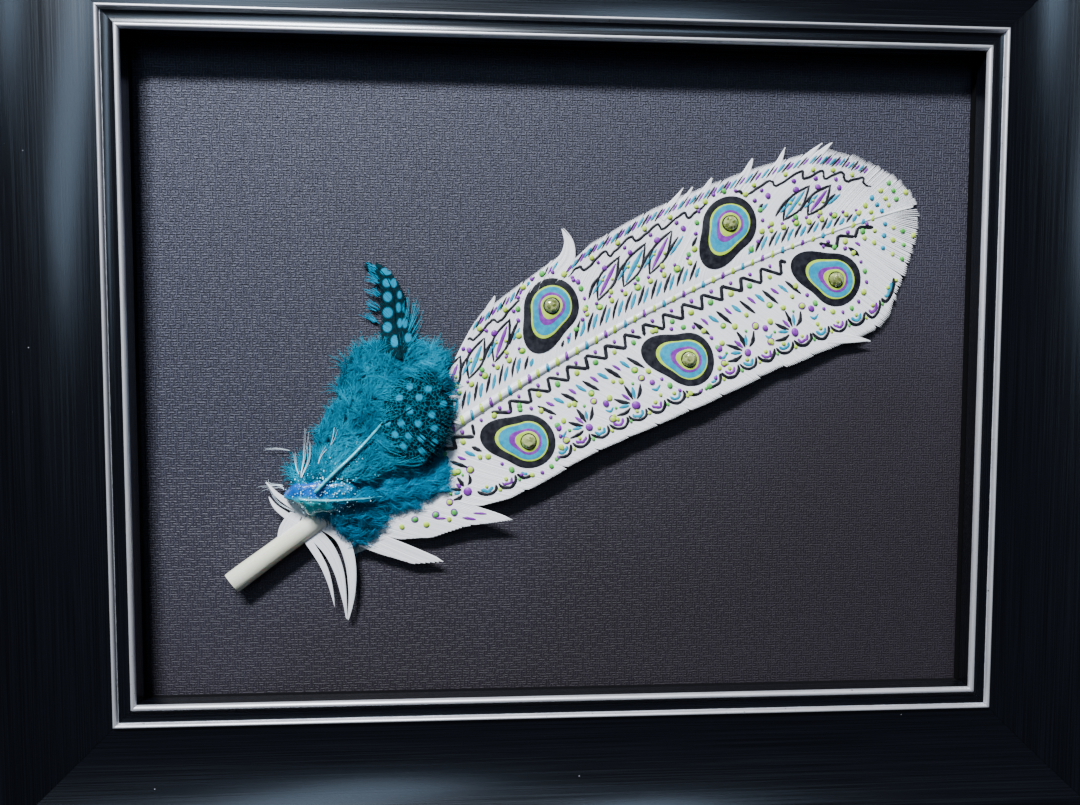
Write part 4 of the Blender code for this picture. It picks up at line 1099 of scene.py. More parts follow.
def reach_to(starts, directions, loop):
    """Distance from each start along its direction to the farthest crossing of the closed loop."""
    side = np.roll(loop, -1, axis=0) - loop
    offset = loop[None] - starts[:, None]
    cross = directions[:, None, 0] * side[None, :, 1] - directions[:, None, 1] * side[None, :, 0]
    cross = np.where(np.abs(cross) < 1e-9, 1e-9, cross)
    far = (offset[..., 0] * side[None, :, 1] - offset[..., 1] * side[None, :, 0]) / cross
    share = (offset[..., 0] * directions[:, None, 1] - offset[..., 1] * directions[:, None, 0]) / cross
    hit = (share >= 0) & (share <= 1) & (far > 0)
    return np.where(hit, far, 0).max(1)


def spot_mask(places, spots):
    """One inside any of the soft-edged ellipses (x, y, half width, half height), nought outside."""
    spots = np.asarray(spots, float)
    offset = (places[:, None, :2] - spots[None, :, :2]) / spots[None, :, 2:4]
    return np.clip((1.12 - np.linalg.norm(offset, axis=2)) / 0.24, 0, 1).max(1)


def blade_material(name, ground_colour, net_colour, spot_colour, net_scale, net_strength):
    """A dark vane with pale spots held in an attribute and a fine net between them."""
    made, nodes, shader = new_material(name, roughness=0.75, specular_ior_level=0.02)
    spot, tone = attribute(nodes, "spot"), attribute(nodes, "tone")
    vector = object_vector(nodes)
    shaken = nodes.add("ShaderNodeTexNoise", {"Vector": vector, "Scale": 500.0, "Detail": 2.0}).outputs["Color"]
    drift = nodes.vector("MULTIPLY", nodes.vector("SUBTRACT", shaken, (0.5, 0.5, 0.5)), (0.0016, 0.0016, 0.0016))
    settings = {"Vector": nodes.vector("ADD", vector, drift), "Scale": net_scale}
    cells = nodes.add("ShaderNodeTexVoronoi", settings, feature="DISTANCE_TO_EDGE").outputs["Distance"]
    broken = nodes.step(nodes.noise(vector, 1400.0, 2.0), 0.36, 0.5)
    net = nodes.math("MULTIPLY", nodes.step(cells, 0.16, 0.04), broken)
    net = nodes.math("MULTIPLY", net, net_strength)
    base = nodes.mix(tone, ground_colour, tuple(value * 1.6 for value in ground_colour))
    colour = nodes.mix(net, base, net_colour)
    bright = nodes.mix(tone, spot_colour, tuple(min(1, value * 1.3) for value in spot_colour))
    feed(nodes, shader, base_color=nodes.mix(spot, colour, bright))
    return made


def blade_barbs(rachis, side, lean, loop, pitch, fray, random, limit=99.0):
    """Plan paths of a blade's barbs from its rachis to the loop, uneven in length and a few running past it."""
    line = spline(rachis, 240)
    along = np.concatenate([[0], np.cumsum(np.linalg.norm(np.diff(line, axis=0), axis=1))])
    places = np.arange(0.2, along[-1], pitch)
    start = np.stack([np.interp(places, along, line[:, k]) for k in (0, 1)], 1)
    tangent = np.gradient(line, along, axis=0)
    tangent = np.stack([np.interp(places, along, tangent[:, k]) for k in (0, 1)], 1)
    tangent /= np.linalg.norm(tangent, axis=1)[:, None]
    angle = side * np.radians(lean) * np.linspace(1.15, 0.6, len(places)) + random.normal(0, 0.03, len(places))
    cosine, sine = np.cos(angle), np.sin(angle)
    direction = np.stack([
        tangent[:, 0] * cosine - tangent[:, 1] * sine, tangent[:, 0] * sine + tangent[:, 1] * cosine,
    ], 1)
    uneven = 0.94 + 0.05 * np.sin(places * 1.9 + side) + random.uniform(-0.05, 0.03, len(places))
    length = np.minimum(reach_to(start, direction, loop), limit) * uneven + 0.6
    length = length + fray * random.random(len(places)) ** 3
    w = np.linspace(0, 1, 26)[None, :, None]
    bend = side * np.stack([direction[:, 1], -direction[:, 0]], 1)
    paths = start[:, None] + direction[:, None] * length[:, None, None] * w
    return paths + bend[:, None] * (0.09 * length[:, None, None]) * w**2


def add_blade(
    name, rachis, leans, loop, spots, ground, lifts, finish, slot, seed, limits=(99.0, 99.0), pitch=0.42, fray=2.2,
):
    """A spotted blade: flat barbs from both sides of a fine rachis, and the rachis itself."""
    random = np.random.default_rng(seed)
    parts = [
        blade_barbs(rachis, side, lean, loop, pitch, fray, random, limit)
        for side, lean, limit in zip((1, -1), leans, limits, strict=True)
    ]
    paths = np.concatenate(parts)
    total, stations = paths.shape[:2]
    w = np.linspace(0, 1, stations)[None]
    camber = lifts[0] + lifts[1] * (1 - w**2)
    z = ground(paths) + camber + random.normal(0, 0.03, (total, 1))
    half = 0.34 * np.clip((1.02 - w) / 0.25, 0.2, 1) * np.ones((total, 1))
    points, faces, number, share = sweep(
        np.concatenate([paths, z[..., None]], -1), half, np.full(half.shape, 0.22), FLAT_SECTION
    )
    shade = np.clip(random.normal(0.4, 0.22, total), 0, 1)[number]
    values = {"tone": shade, "spot": spot_mask(points, spots), "share": share}
    made = mesh_object(name, points, faces, finish, smooth=False, values=values)
    place(made, slot)
    line = spline(rachis, 40)
    height = ground(line) + lifts[0] + lifts[1] + 0.1
    thin = np.linspace(0.45, 0.12, 40)[None]
    solid = np.concatenate([line, height[:, None]], 1)[None]
    points, faces, number, share = sweep(solid, thin, thin, TUBE_SECTION)
    made = mesh_object(f"{name}_rachis", points, faces, finish, values={
        "tone": np.full(len(points), 0.2), "spot": np.full(len(points), 0.0), "share": share,
    })
    place(made, slot)


TUBE_SECTION = [(math.cos(a), math.sin(a)) for a in np.arange(10) * math.pi / 5]


def add_core(name, loop, ground, sink, finish, slot, nodes, shade):
    """The body under the down, a dark mass of painted shade for the down's depths: the solid's relief, sunk a little,
    with shallow lumps.
    """
    places, quads = patch(spline(loop, 200, closed=True), 1.2)
    x, y = places.T
    lumps = 0.25 * np.sin(x * 1.3 + np.sin(y * 0.9)) * np.cos(y * 1.1)
    z = np.maximum(ground(places) - sink + lumps, BOARD_FACE + GAP + 0.2)
    top = np.column_stack([places, z])
    points, faces = close_sheet(top, top - [0, 0, 0.4], quads)
    # Painted shade: the body takes the given low tone, dark like the down's depths.
    values = {"tone": np.full(len(points), shade), "share": np.zeros(len(points))}
    made = mesh_object(name, points, faces, finish, values=values)
    place(made, slot, *nodes)


def add_quill(name, middle, ground, finish, slot, radius, end_share=0.55, lift=0.0):
    """A thin dyed quill that follows the top of the solids."""
    line = spline(middle, 60)
    z = ground(line) + lift - radius
    thin = radius * np.linspace(1, end_share, 60)[None]
    solid = np.concatenate([line, z[:, None]], 1)[None]
    points, faces, number, share = sweep(solid, thin, thin, TUBE_SECTION)
    made = mesh_object(name, points, faces, finish, values={"tone": np.full(len(points), 0.5), "share": share})
    place(made, slot)


def add_threads(name, lines, count, spread, width, ground, lift, finish, slot, seed, tones=(0.5, 1.0), spot=None):
    """Loose threads: each line is repeated with its own spread, risen a little and thinned to its end."""
    random = np.random.default_rng(seed)
    stations = 9
    paths = np.repeat(np.stack([spline(line, stations) for line in lines]), count, axis=0)
    total = len(paths)
    w = np.linspace(0, 1, stations)[None, :, None]
    shift = random.normal(0, spread, (total, 1, 2))
    turn = random.normal(0, spread * 1.2, (total, 1, 2))
    length = random.uniform(0.65, 1.0, (total, 1, 1))
    paths = paths[:, :1] + (paths - paths[:, :1]) * length + shift + turn * w**1.5
    z = ground(paths) + lift + 0.8 * np.sin(math.pi * np.clip(w[..., 0] * 0.8, 0, 1)) * random.uniform(0.2, 1, (total, 1))
    half = width * (1 - 0.7 * w[..., 0] ** 2) * np.ones((total, 1))
    solid = np.concatenate([paths, z[..., None]], -1)
    points, faces, number, share = sweep(solid, half, half, HAIR_SECTION)
    tone = random.uniform(*tones, total)[number]
    values = {"tone": tone, "share": share, "spot": np.full(len(points), spot or 0.0)}
    return place(mesh_object(name, points, faces, finish, values=values), slot)


def build_plumes(settings):
    """The dyed plumes from the lowest up: down over its body, then spotted blades and their quills."""
    density = settings.density
    teal = plume_material("dyed_down", (0.0, 0.022, 0.045), (0.0, 0.165, 0.275), (0.0, 0.34, 0.51), (0.0, 0.44, 0.62))
    blue = plume_material("dyed_marabou", (0.0, 0.026, 0.055), (0.0, 0.165, 0.31), (0.0, 0.31, 0.53), (0.0, 0.42, 0.64))
    low = relief(["white_feather", "painted_card", "marabou_plume"], 3)
    high = relief(["white_feather", "marabou_plume", "guinea_feather_top"], 3)
    front = relief(["white_feather", "marabou_plume", "guinea_feather_top", "guinea_feather_front"], 2)
    marabou, down = (spline(loop, 160, closed=True) for loop in (MARABOU, TOP_DOWN))
    spine, lower_spine = spline(TOP_SPINE, 60), spline(MARABOU_SPINE, 60)
    add_core("marabou_body", MARABOU, low, 1.6, blue, "marabou", ["marabou_plume"], 0.0)
    add_down(
        "marabou_down", marabou, lower_spine, int(4600 * density), 9.5, low, 11, blue, "marabou",
        ["marabou_plume"],
    )
    add_core("top_body", TOP_DOWN, high, 2.4, teal, "guinea_top", ["guinea_feather_top"], 0.0)
    for number in (1, 2):
        add_down(
            f"top_down_{number}", down, spine, int(4600 * density), 10.0, high, 11 + number, teal, "guinea_top",
            ["guinea_feather_top"],
        )
    dark = blade_material("spotted_blade", (0.003, 0.011, 0.016), (0.0, 0.1, 0.13), (0.0, 0.2, 0.33), 500.0, 0.15)
    net = blade_material("netted_blade", (0.001, 0.007, 0.012), (0.0, 0.15, 0.22), (0.0, 0.21, 0.34), 640.0, 0.65)
    loop = spline(TOP_PLUME, 240, closed=True)
    add_blade(
        "top_blade", TOP_RACHIS, (50, 30), loop, TOP_SPOTS, high, (0.4, 0.5), dark, "guinea_top", 21,
        limits=(9.6, 12.0), fray=0.6,
    )
    add_threads("top_frayed_spots", TOP_FRAYED, 16, 0.62, 0.17, high, 0.5, dark, "guinea_top", 23, spot=1.0)
    add_threads("top_loose_barbs", TOP_LOOSE, 9, 0.9, 0.12, high, 0.3, teal, "guinea_top", 24)
    loop = spline(FRONT_BLADE, 160, closed=True)
    round_spots = [(x, y, 1.45, 1.3) for x, y in FRONT_SPOTS]
    add_blade(
        "front_blade", FRONT_RACHIS, (80, 80), loop, round_spots, front, (-0.2, 0.5), net, "guinea_front", 22,
        pitch=0.36, fray=2.4,
    )
    core = np.mean(FRONT_BLADE, axis=0) + (np.array(FRONT_BLADE) - np.mean(FRONT_BLADE, axis=0)) * 0.88
    add_core("front_body", core, front, 0.9, net, "guinea_front", ["guinea_feather_front"], 0.0)
    add_threads("front_fringe", FRONT_FRINGE, 34, 1.5, 0.11, front, 0.2, teal, "guinea_front", 25, tones=(0.2, 0.9))
    horn, nodes, shader = new_material("dyed_quill", roughness=0.35, coat_weight=0.3)
    streak = use_group(nodes, grain_group(), Vector=object_vector(nodes), Length=300.0, Width=900.0)["Streak"]
    feed(nodes, shader, base_color=nodes.mix(streak, (0.0, 0.36, 0.5), (0.12, 0.62, 0.72)))
    add_quill("front_quill", FRONT_QUILL, front, horn, "guinea_front", PLUME_QUILL_RADIUS, 0.7, 0.3)
    stem = relief(["marabou_plume", "glitter_glue", "guinea_feather_top"], 1)
    add_quill("marabou_quill", MARABOU_QUILL, stem, horn, "marabou", PLUME_QUILL_RADIUS * 0.8, 0.5, 0.2)


def build_glue(settings):
    """The glue pool with its glitter: a dome over the plumes' roots, blue at one side and aqua at the other."""
    made, nodes, shader = new_material("glue_film", roughness=0.25, coat_weight=0.5, coat_roughness=0.1)
    vector = object_vector(nodes)
    axes = nodes.add("ShaderNodeSeparateXYZ", {0: vector}).outputs
    run = nodes.math("ADD", axes[1], nodes.math("MULTIPLY", nodes.noise(vector, 160.0, 3.0), 0.004))
    colour = nodes.mix(nodes.step(run, -0.0495, -0.0455), (0.03, 0.74, 0.74), (0.0, 0.1, 0.46))
    colour = nodes.mix(nodes.step(axes[0], -0.101, -0.088), colour, (0.0, 0.2, 0.4))
    cloud = nodes.step(nodes.noise(vector, 260.0, 4.0), 0.42, 0.7)
    colour = nodes.mix(nodes.math("MULTIPLY", cloud, 0.3), colour, (0.0, 0.06, 0.2))
    bump = nodes.bump(nodes.noise(vector, 420.0, 3.0), 0.0006, 0.8)
    feed(nodes, shader, base_color=colour, normal=bump)
    look = relief(["glitter_glue"], 1)
    loop = spline(GLITTER_GLUE, 200, closed=True)
    places, quads = patch(loop, 0.7)
    away = nearest_on(places, loop)[1]
    x, y = places.T
    z = look(places) - 0.2 - 1.1 * np.clip(1 - away / 3.0, 0, 1) ** 1.5
    z = z + 0.18 * np.sin(x * 1.1) * np.sin(y * 1.4 + 0.5 * x)
    top = np.column_stack([places, z])
    points, faces = close_sheet(top, top - [0, 0, 0.7], quads)
    place(mesh_object("glue_pool", points, faces, made), "glitter_glue", "glitter_glue")
    random = np.random.default_rng(5)
    total = settings.glitter
    centre = np.array([-94.0, -44.0]) + random.normal(0, 1, (total * 3, 2)) * [10.0, 8.0]
    near = spline([(-116, -50), (-108, -38), (-92, -28), (-74, -22), (-68, -34), (-76, -52), (-92, -60)], 90, closed=True)
    centre = centre[within(centre, near)][:total]
    cover = relief(["glitter_glue", "guinea_feather_top", "marabou_plume", "white_feather"], 1)
    size = random.uniform(0.1, 0.27, len(centre))
    tilt = random.normal(0, 0.35, (len(centre), 2))
    angle = np.arange(6) * math.pi / 3 + random.uniform(0, 1, (len(centre), 1))
    dx, dy = size[:, None] * np.cos(angle), size[:, None] * np.sin(angle)
    z = cover(centre)[:, None] + 0.35 + tilt[:, :1] * dx + tilt[:, 1:] * dy
    top = np.stack([centre[:, :1] + dx, centre[:, 1:] + dy, z], -1)
    solid = np.concatenate([top, top - [0, 0, 0.06]], 1)
    shift = np.arange(len(centre))[:, None, None] * 12
    ring = np.arange(6)
    caps = np.stack([ring, ring[::-1] + 6])[None] + shift
    walls = np.stack([np.roll(ring, -1), ring, ring + 6, np.roll(ring, -1) + 6], 1)[None] + shift
    silver, nodes, shader = new_material("glitter", roughness=0.3)
    feed(nodes, shader, base_color=(0.45, 0.86, 0.95))
    flakes = mesh_object(
        "glitter_flakes", solid.reshape(-1, 3), [caps.reshape(-1, 6), walls.reshape(-1, 4)], silver, smooth=False
    )
    place(flakes, "glitter_glue")


def build_card_and_wisps():
    """The card's corner with its wash of paint, and the few undyed hairs at the plumes' edge."""
    made, nodes, shader = new_material("washed_card", roughness=0.45)
    vector = object_vector(nodes)
    wash = nodes.noise(nodes.vector("MULTIPLY", vector, (1.0, 2.4, 1.0)), 150.0, 4.0)
    feed(nodes, shader, base_color=nodes.mix(nodes.step(wash, 0.35, 0.65), (0.42, 0.78, 0.8), (0.76, 0.92, 0.9)))
    edge = np.array(CARD_CORNERS, float)
    u, v = np.meshgrid(np.linspace(0, 1, 12), np.linspace(0, 1, 12))
    corners = [weight[..., None] * edge[k] for k, weight in enumerate([(1 - u) * (1 - v), u * (1 - v), u * v, (1 - u) * v])]
    plan = sum(corners).reshape(-1, 2)
    low = BOARD_FACE + GAP
    top = np.column_stack([plan, low + CARD_THICKNESS + 0.15 * (v * u).ravel()])
    points, faces = close_sheet(top, np.column_stack([plan, np.full(len(plan), low)]), grid_quads(12, 12))
    piece = mesh_object("painted_card_finish", points, faces, made)
    smooth_by_angle(piece, 35)
    place(piece, "teal_card", "painted_card")
    white, nodes, shader = new_material("undyed_hair", roughness=0.6)
    feed(nodes, shader, base_color=(0.74, 0.88, 0.97))
    random = np.random.default_rng(3)
    look = relief(["guinea_feather_top", "glitter_glue", "white_feather"], 2)
    lines = np.stack([spline(middle, 12) for middle in WHITE_WISPS])
    lines = np.repeat(lines, 3, axis=0)
    w = np.linspace(0, 1, 12)[None, :, None]
    lines = lines + random.normal(0, 0.7, (len(lines), 1, 2)) * w
    z = look(lines) + 0.6 + 1.2 * np.sin(math.pi * w[..., 0] * 0.8)
    half = 0.15 * (1 - 0.8 * w[..., 0]) * np.ones((len(lines), 1))
    points, faces, number, share = sweep(np.concatenate([lines, z[..., None]], -1), half, half, HAIR_SECTION)
    place(mesh_object("white_wisps", points, faces, white), "marabou")


def build_gems():
    """Cut stones: a girdle, two rows of facets and a table, flat shaded over a dark foil."""
    made, nodes, shader = new_material("olive_stone", roughness=0.06, metallic=0.35, coat_weight=1.0)
    vector = object_vector(nodes)
    cells = nodes.add("ShaderNodeTexVoronoi", {"Vector": vector, "Scale": 900.0}).outputs["Color"]
    tone = nodes.add("ShaderNodeSeparateColor", {0: cells}).outputs[0]
    feed(nodes, shader, base_color=nodes.mix(tone, (0.12, 0.16, 0.02), (0.72, 0.78, 0.32)))
    profile = np.array([(0.9, 0.0), (1.0, 0.12), (1.0, 0.28), (0.86, 0.6), (0.58, 0.93), (0.5, 1.0)])
    sides = 16
    nodes_of = [f"rhinestone_{number}" for number in range(1, len(GEMS) + 1)]
    rings = []
    for name in nodes_of:
        low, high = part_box(name)
        centre = np.array([(low.x + high.x) / 2, (low.y + high.y) / 2, low.z]) / MM
        turn = np.arange(len(profile))[:, None] * math.pi / sides
        angle = np.arange(sides)[None] * 2 * math.pi / sides + turn
        radius = profile[:, :1] * GEM_RADIUS
        ring = np.stack([radius * np.cos(angle), radius * np.sin(angle), profile[:, 1:] * GEM_HEIGHT + 0 * angle], -1)
        rings.append(ring + centre)
    solid = np.stack(rings).reshape(len(rings), -1, 3)
    shift = np.arange(len(rings))[:, None, None] * solid.shape[1]
    quads = (grid_quads(len(profile), sides, around=True)[None] + shift).reshape(-1, 4)
    loop = np.arange(sides)
    caps = (np.stack([loop[::-1], loop + (len(profile) - 1) * sides])[None] + shift).reshape(-1, sides)
    piece = mesh_object("rhinestones", solid.reshape(-1, 3), [quads, caps], made, smooth=False)
    place(piece, "gem_green", *nodes_of)


# The painting on the vanes


BEAD_SECTION = [(1.0, -1.0), (0.85, 0.5), (0.45, 0.9), (-0.45, 0.9), (-0.85, 0.5), (-1.0, -1.0)]
CAPS = {
    "dome": [(1.0, -0.35), (1.0, 0.15), (0.9, 0.5), (0.66, 0.78), (0.34, 0.94), (0.02, 1.0)],
    "film": [(1.0, -0.8), (1.0, 0.35), (0.97, 0.8), (0.9, 1.0), (0.4, 1.0), (0.02, 1.0)],
}
DROP_LAYERS = [
    ("black", 11.2, 0.85, 0.10), ("lime", 8.3, 0.7, 0.19), ("turquoise", 7.7, 0.66, 0.27),
    ("purple", 5.5, 0.5, 0.35), ("lime", 4.4, 0.3, 0.43), ("black", 3.5, 0.0, 0.5),
]


def painted_height(s, t):
    """Height of the feather's surface: the vane's top, or the quill's where it stands higher."""
    radius = shaft_radius(s)
    quill = shaft_underside(s) + radius + np.sqrt(np.clip(radius**2 - np.square(t), 0, None))
    return np.where(np.abs(t) < radius, np.maximum(vane_height(s, t), quill), vane_height(s, t))


def drop_radius(angle, radius, tail):
    """Radius of a drop at angles from its point: round, with a point that adds a share of the radius."""
    return radius * (1 + tail * np.clip(np.cos(angle), 0, 1) ** 6)


class Painting:
    """Marks gathered by colour in (s, t), kept off the drops, then built as one mesh for each colour."""

    def __init__(self, seed):
        self.random = np.random.default_rng(seed)
        self.strokes, self.caps, self.drops = {}, {}, []

    def clear(self, places, margin):
        """Whether each place is farther than the margin from every drop."""
        places = np.atleast_2d(places)
        free = np.ones(len(places), bool)
        for centre, radius, tail, turn in self.drops:
            offset = places - centre
            angle = np.arctan2(offset[:, 1], offset[:, 0]) - turn
            free &= np.linalg.norm(offset, axis=1) > drop_radius(angle, radius, tail) + margin
        return free

    def stroke(self, colour, points, width, taper=0.35, stations=14, margin=1.2, lift=0.1):
        """A brush stroke along a curve through the points, broken at the drops, its ends thinned."""
        points = np.asarray(points, float) + self.random.normal(0, 0.14, (len(points), 2))
        line = spline(points, stations * 3)
        free = self.clear(line, margin + width / 2).astype(int)
        turns = np.flatnonzero(np.diff(np.concatenate([[0], free, [0]])))
        for first, last in zip(turns[::2], turns[1::2], strict=True):
            run = line[first:last]
            if len(run) < 3 or np.linalg.norm(run[-1] - run[0]) < 1.5 * width:
                continue
            index = np.linspace(0, len(run) - 1, stations)
            run = np.stack([np.interp(index, np.arange(len(run)), run[:, k]) for k in (0, 1)], 1)
            w = np.linspace(0, 1, stations)
            wobble = 1 + 0.09 * np.sin(w * 17 + self.random.uniform(0, 6))
            ends = np.clip(np.minimum(w, 1 - w) / taper, 0.16, 1) ** 0.6
            half = width / 2 * self.random.uniform(0.88, 1.12) * ends * wobble
            self.strokes.setdefault((colour, stations), []).append((run, half, np.full(stations, lift)))

    def cap(self, colour, centre, outline, lift, thick, kind):
        """A mark with an outline given as radii at even angles: a flat film or a raised dome."""
        self.caps.setdefault((colour, len(outline), kind), []).append((centre, outline, lift, thick))

    def dot(self, colour, place, radius, margin=1.0, rim=None):
        """A raised drop of paint, some with a flat rim of another colour under it."""
        place = np.asarray(place, float) + self.random.normal(0, 0.15, 2)
        radius = radius * self.random.uniform(0.88, 1.12)
        if not self.clear(place, margin + radius)[0]:
            return
        ragged = 1 + 0.06 * np.sin(np.arange(14) * math.pi / 7 * 2 + self.random.uniform(0, 6))
        if rim:
            self.cap(rim, place, (radius + 0.45) * ragged[::-1], 0.06, 0.08, "film")
        self.cap(colour, place, radius * ragged, 0.12, 0.3 + 0.28 * radius, "dome")

    def build(self, colour, finish):
        """The colour's mesh object."""
        points, faces, first = [], [], 0
        for (own, _), rows in self.strokes.items():
            if own == colour:
                line, half, lift = (np.stack([row[k] for row in rows]) for k in range(3))
                s, t = line[..., 0], line[..., 1]
                solid = np.concatenate([on_board(s, t), (painted_height(s, t) + lift)[..., None]], -1)
                some, parts, _, _ = sweep(solid, half, np.full(half.shape, 0.16), BEAD_SECTION)
                points.append(some)
                faces += [part + first for part in parts]
                first += len(some)
        for (own, sides, kind), rows in self.caps.items():
            if own == colour:
                centre, outline, lift, thick = (np.stack([row[k] for row in rows]) for k in range(4))
                profile = np.array(CAPS[kind])
                angle = np.arange(sides) * 2 * math.pi / sides
                radius = outline[:, None] * profile[None, :, :1]
                s = centre[:, 0, None, None] + radius * np.cos(angle)
                t = centre[:, 1, None, None] + radius * np.sin(angle)
                z = painted_height(s, t) + lift[:, None, None] + thick[:, None, None] * profile[None, :, 1:]
                shift = np.arange(len(rows))[:, None, None] * len(profile) * sides
                quads = (grid_quads(len(profile), sides, around=True)[None] + shift).reshape(-1, 4)
                loop = np.arange(sides)
                lids = (np.stack([loop[::-1], loop + (len(profile) - 1) * sides])[None] + shift).reshape(-1, sides)
                some = np.concatenate([on_board(s, t), z[..., None]], -1).reshape(-1, 3)
                points.append(some)
                faces += [quads + first, lids + first]
                first += len(some)
        made = mesh_object(f"paint_{colour}", np.concatenate(points), faces, finish)
        smooth_by_angle(made, 60)
        place(made, "white_feather")


def vane_table(side, root):
    """Knots of the group that holds the root."""
    groups = UPPER_LOCKS if side > 0 else LOWER_LOCKS
    return np.array(next(knots for _, _, knots in reversed(groups) if knots[0][0] <= root), float)


def along_barb(side, root, share):
    """The (s, t) of a share of the length of the barb from a root on the shaft."""
    table = vane_table(side, root)
    end = [np.interp(root, table[:, 0], table[:, k]) for k in (1, 2)]
    start = side * 0.3 * float(shaft_radius(root))
    return np.array([root + (end[0] - root) * share**BARB_SWEEP, start + (end[1] - start) * share])


def by_edge(side, s, share):
    """The (s, t) at a share of the way from the shaft's line straight across to the vane's edge."""
    groups = UPPER_LOCKS[1:] if side > 0 else LOWER_LOCKS[2:]
    rows = np.array([row for _, _, knots in groups for row in knots], float)
    return np.array([s, share * np.interp(s, rows[:, 1], rows[:, 2])])


def paint_drops(art):
    """Nested pointed drops round the stones, their points turned back to the shaft, with a ring of dots."""
    for s, t in GEMS:
        side = math.copysign(1, t)
        turn = math.atan2(-side * 0.85, -1.0)
        angle = np.arange(96) * 2 * math.pi / 96
        for colour, radius, tail, lift in DROP_LAYERS:
            wobble = 1 + 0.014 * np.sin(angle * 3 + art.random.uniform(0, 6))
            art.cap(colour, (s, t), drop_radius(angle - turn, radius, tail) * wobble, lift, 0.09, "film")
        _, radius, tail, _ = DROP_LAYERS[0]
        art.drops.append((np.array([s, t]), radius, tail, turn))
        for number, step in enumerate(np.arange(-8, 9) * 0.33):
            away = float(drop_radius(step + math.pi, radius, tail)) + 2.6
            way = turn + math.pi + step
            place_at = np.array([s + away * math.cos(way), t + away * math.sin(way)])
            colour = ("lime", "purple", "green", "purple")[number % 4]
            if abs(place_at[1]) > 4.5:
                art.dot(colour, place_at, 1.15 if number % 2 == 0 else 0.8, margin=0.4)


def paint_shaft(art):
    """Short slanting bars over the quill, in turns of three colours."""
    for number, s in enumerate(np.arange(111.0, 316.0, 4.6)):
        wide = float(shaft_radius(s)) * 0.85 + 0.25
        colour = ("purple", "lime", "turquoise", "lime")[number % 4]
        art.stroke(colour, [(s - 0.9, -wide), (s, 0), (s + 0.9, wide)], 1.5, taper=0.2, stations=9, lift=0.06)


def paint_upper_vane(art):
    """Slanting pairs by the shaft, leaves along the middle, and a wave with dots and ticks near the edge."""
    for number, root in enumerate(np.arange(104.0, 300.0, 6.0)):
        art.stroke("black", [along_barb(1, root, share) for share in (0.1, 0.18, 0.27)], 1.25)
        art.stroke("turquoise", [along_barb(1, root + 2.7, share) for share in (0.1, 0.17, 0.23)], 1.5)
        art.dot("lime", along_barb(1, root + 2.7, 0.285), 1.1, rim="green" if number % 3 == 0 else None)
        art.dot("purple", along_barb(1, root + 0.2, 0.335), 0.75)
    for number, root in enumerate(np.arange(104.0, 284.0, 12.0)):
        base, middle, tip = (along_barb(1, root, share) for share in (0.36, 0.52, 0.69))
        axis = (tip - base) / np.linalg.norm(tip - base)
        normal = np.array([-axis[1], axis[0]])
        if art.clear([base, middle, tip], 2.5).all():
            for sign in (-1, 1):
                art.stroke("black", [base, middle + sign * 3.3 * normal, tip], 1.05, taper=0.15)
            art.stroke("turquoise" if number % 2 else "purple", [base + axis * 2.2, tip - axis * 3.2], 1.7)
            for sign in (-1, 1):
                art.dot("lime", middle + sign * 1.75 * normal - axis * sign, 0.62)
        low, high = (along_barb(1, root + 6.0, share) for share in (0.43, 0.6))
        art.stroke("black", [low, (low + high) / 2 + 0.5 * normal, high], 1.35)
        art.stroke("turquoise", [low + [2.2, 0.8], high + [1.9, -0.8]], 1.3)
        art.dot("green" if number % 2 else "lime", along_barb(1, root + 6.0, 0.37), 1.0)
        art.dot("purple", along_barb(1, root + 6.0, 0.66), 1.2)
    swing = 2 * math.pi / 12.0
    for start, end in ((104.0, 142.6), (143.0, 292.0)):
        roots = np.linspace(start, end, int(end - start))
        wave = [along_barb(1, root, 0.785 + 0.036 * math.cos(swing * (root - 104.0))) for root in roots]
        art.stroke("black", wave, 1.1, taper=0.04, stations=len(roots))
    for number, root in enumerate(np.arange(104.0, 284.0, 6.0)):
        odd = number % 2
        art.dot("lime" if odd else "purple", along_barb(1, root, 0.83 if odd else 0.75), 1.05 if odd else 0.85)
        art.stroke("turquoise", [along_barb(1, root + 1.2, 0.875), along_barb(1, root + 1.2, 0.945)], 1.1)
        art.stroke("black", [along_barb(1, root + 3.2, 0.865), along_barb(1, root + 3.2, 0.955)], 0.8)
        art.stroke("purple", [along_barb(1, root + 4.9, 0.875), along_barb(1, root + 4.9, 0.935)], 0.95)


def paint_fan(art, hub, size, heading):
    """Seven strokes spread from a hub, with a dot past every other one."""
    for step in range(-3, 4):
        way = np.array([math.cos(heading + step * 0.38), math.sin(heading + step * 0.38)])
        bow = np.array([-way[1], way[0]]) * 0.25 * step
        if step % 2:
            art.stroke("black", [hub + way * 2.6, hub + way * size * 0.6 + bow, hub + way * size], 1.9, taper=0.5)
            art.dot("lime", hub + way * (size + 2.1), 1.2, rim="purple" if abs(step) == 3 else None)
        else:
            reach = size * 0.78
            art.stroke("turquoise" if step else "purple", [hub + way * 3.0, hub + way * reach], 1.6, taper=0.45)
            if step:
                art.dot("green", hub + way * (reach + 1.6), 0.65)
    art.dot("purple", hub, 1.75)


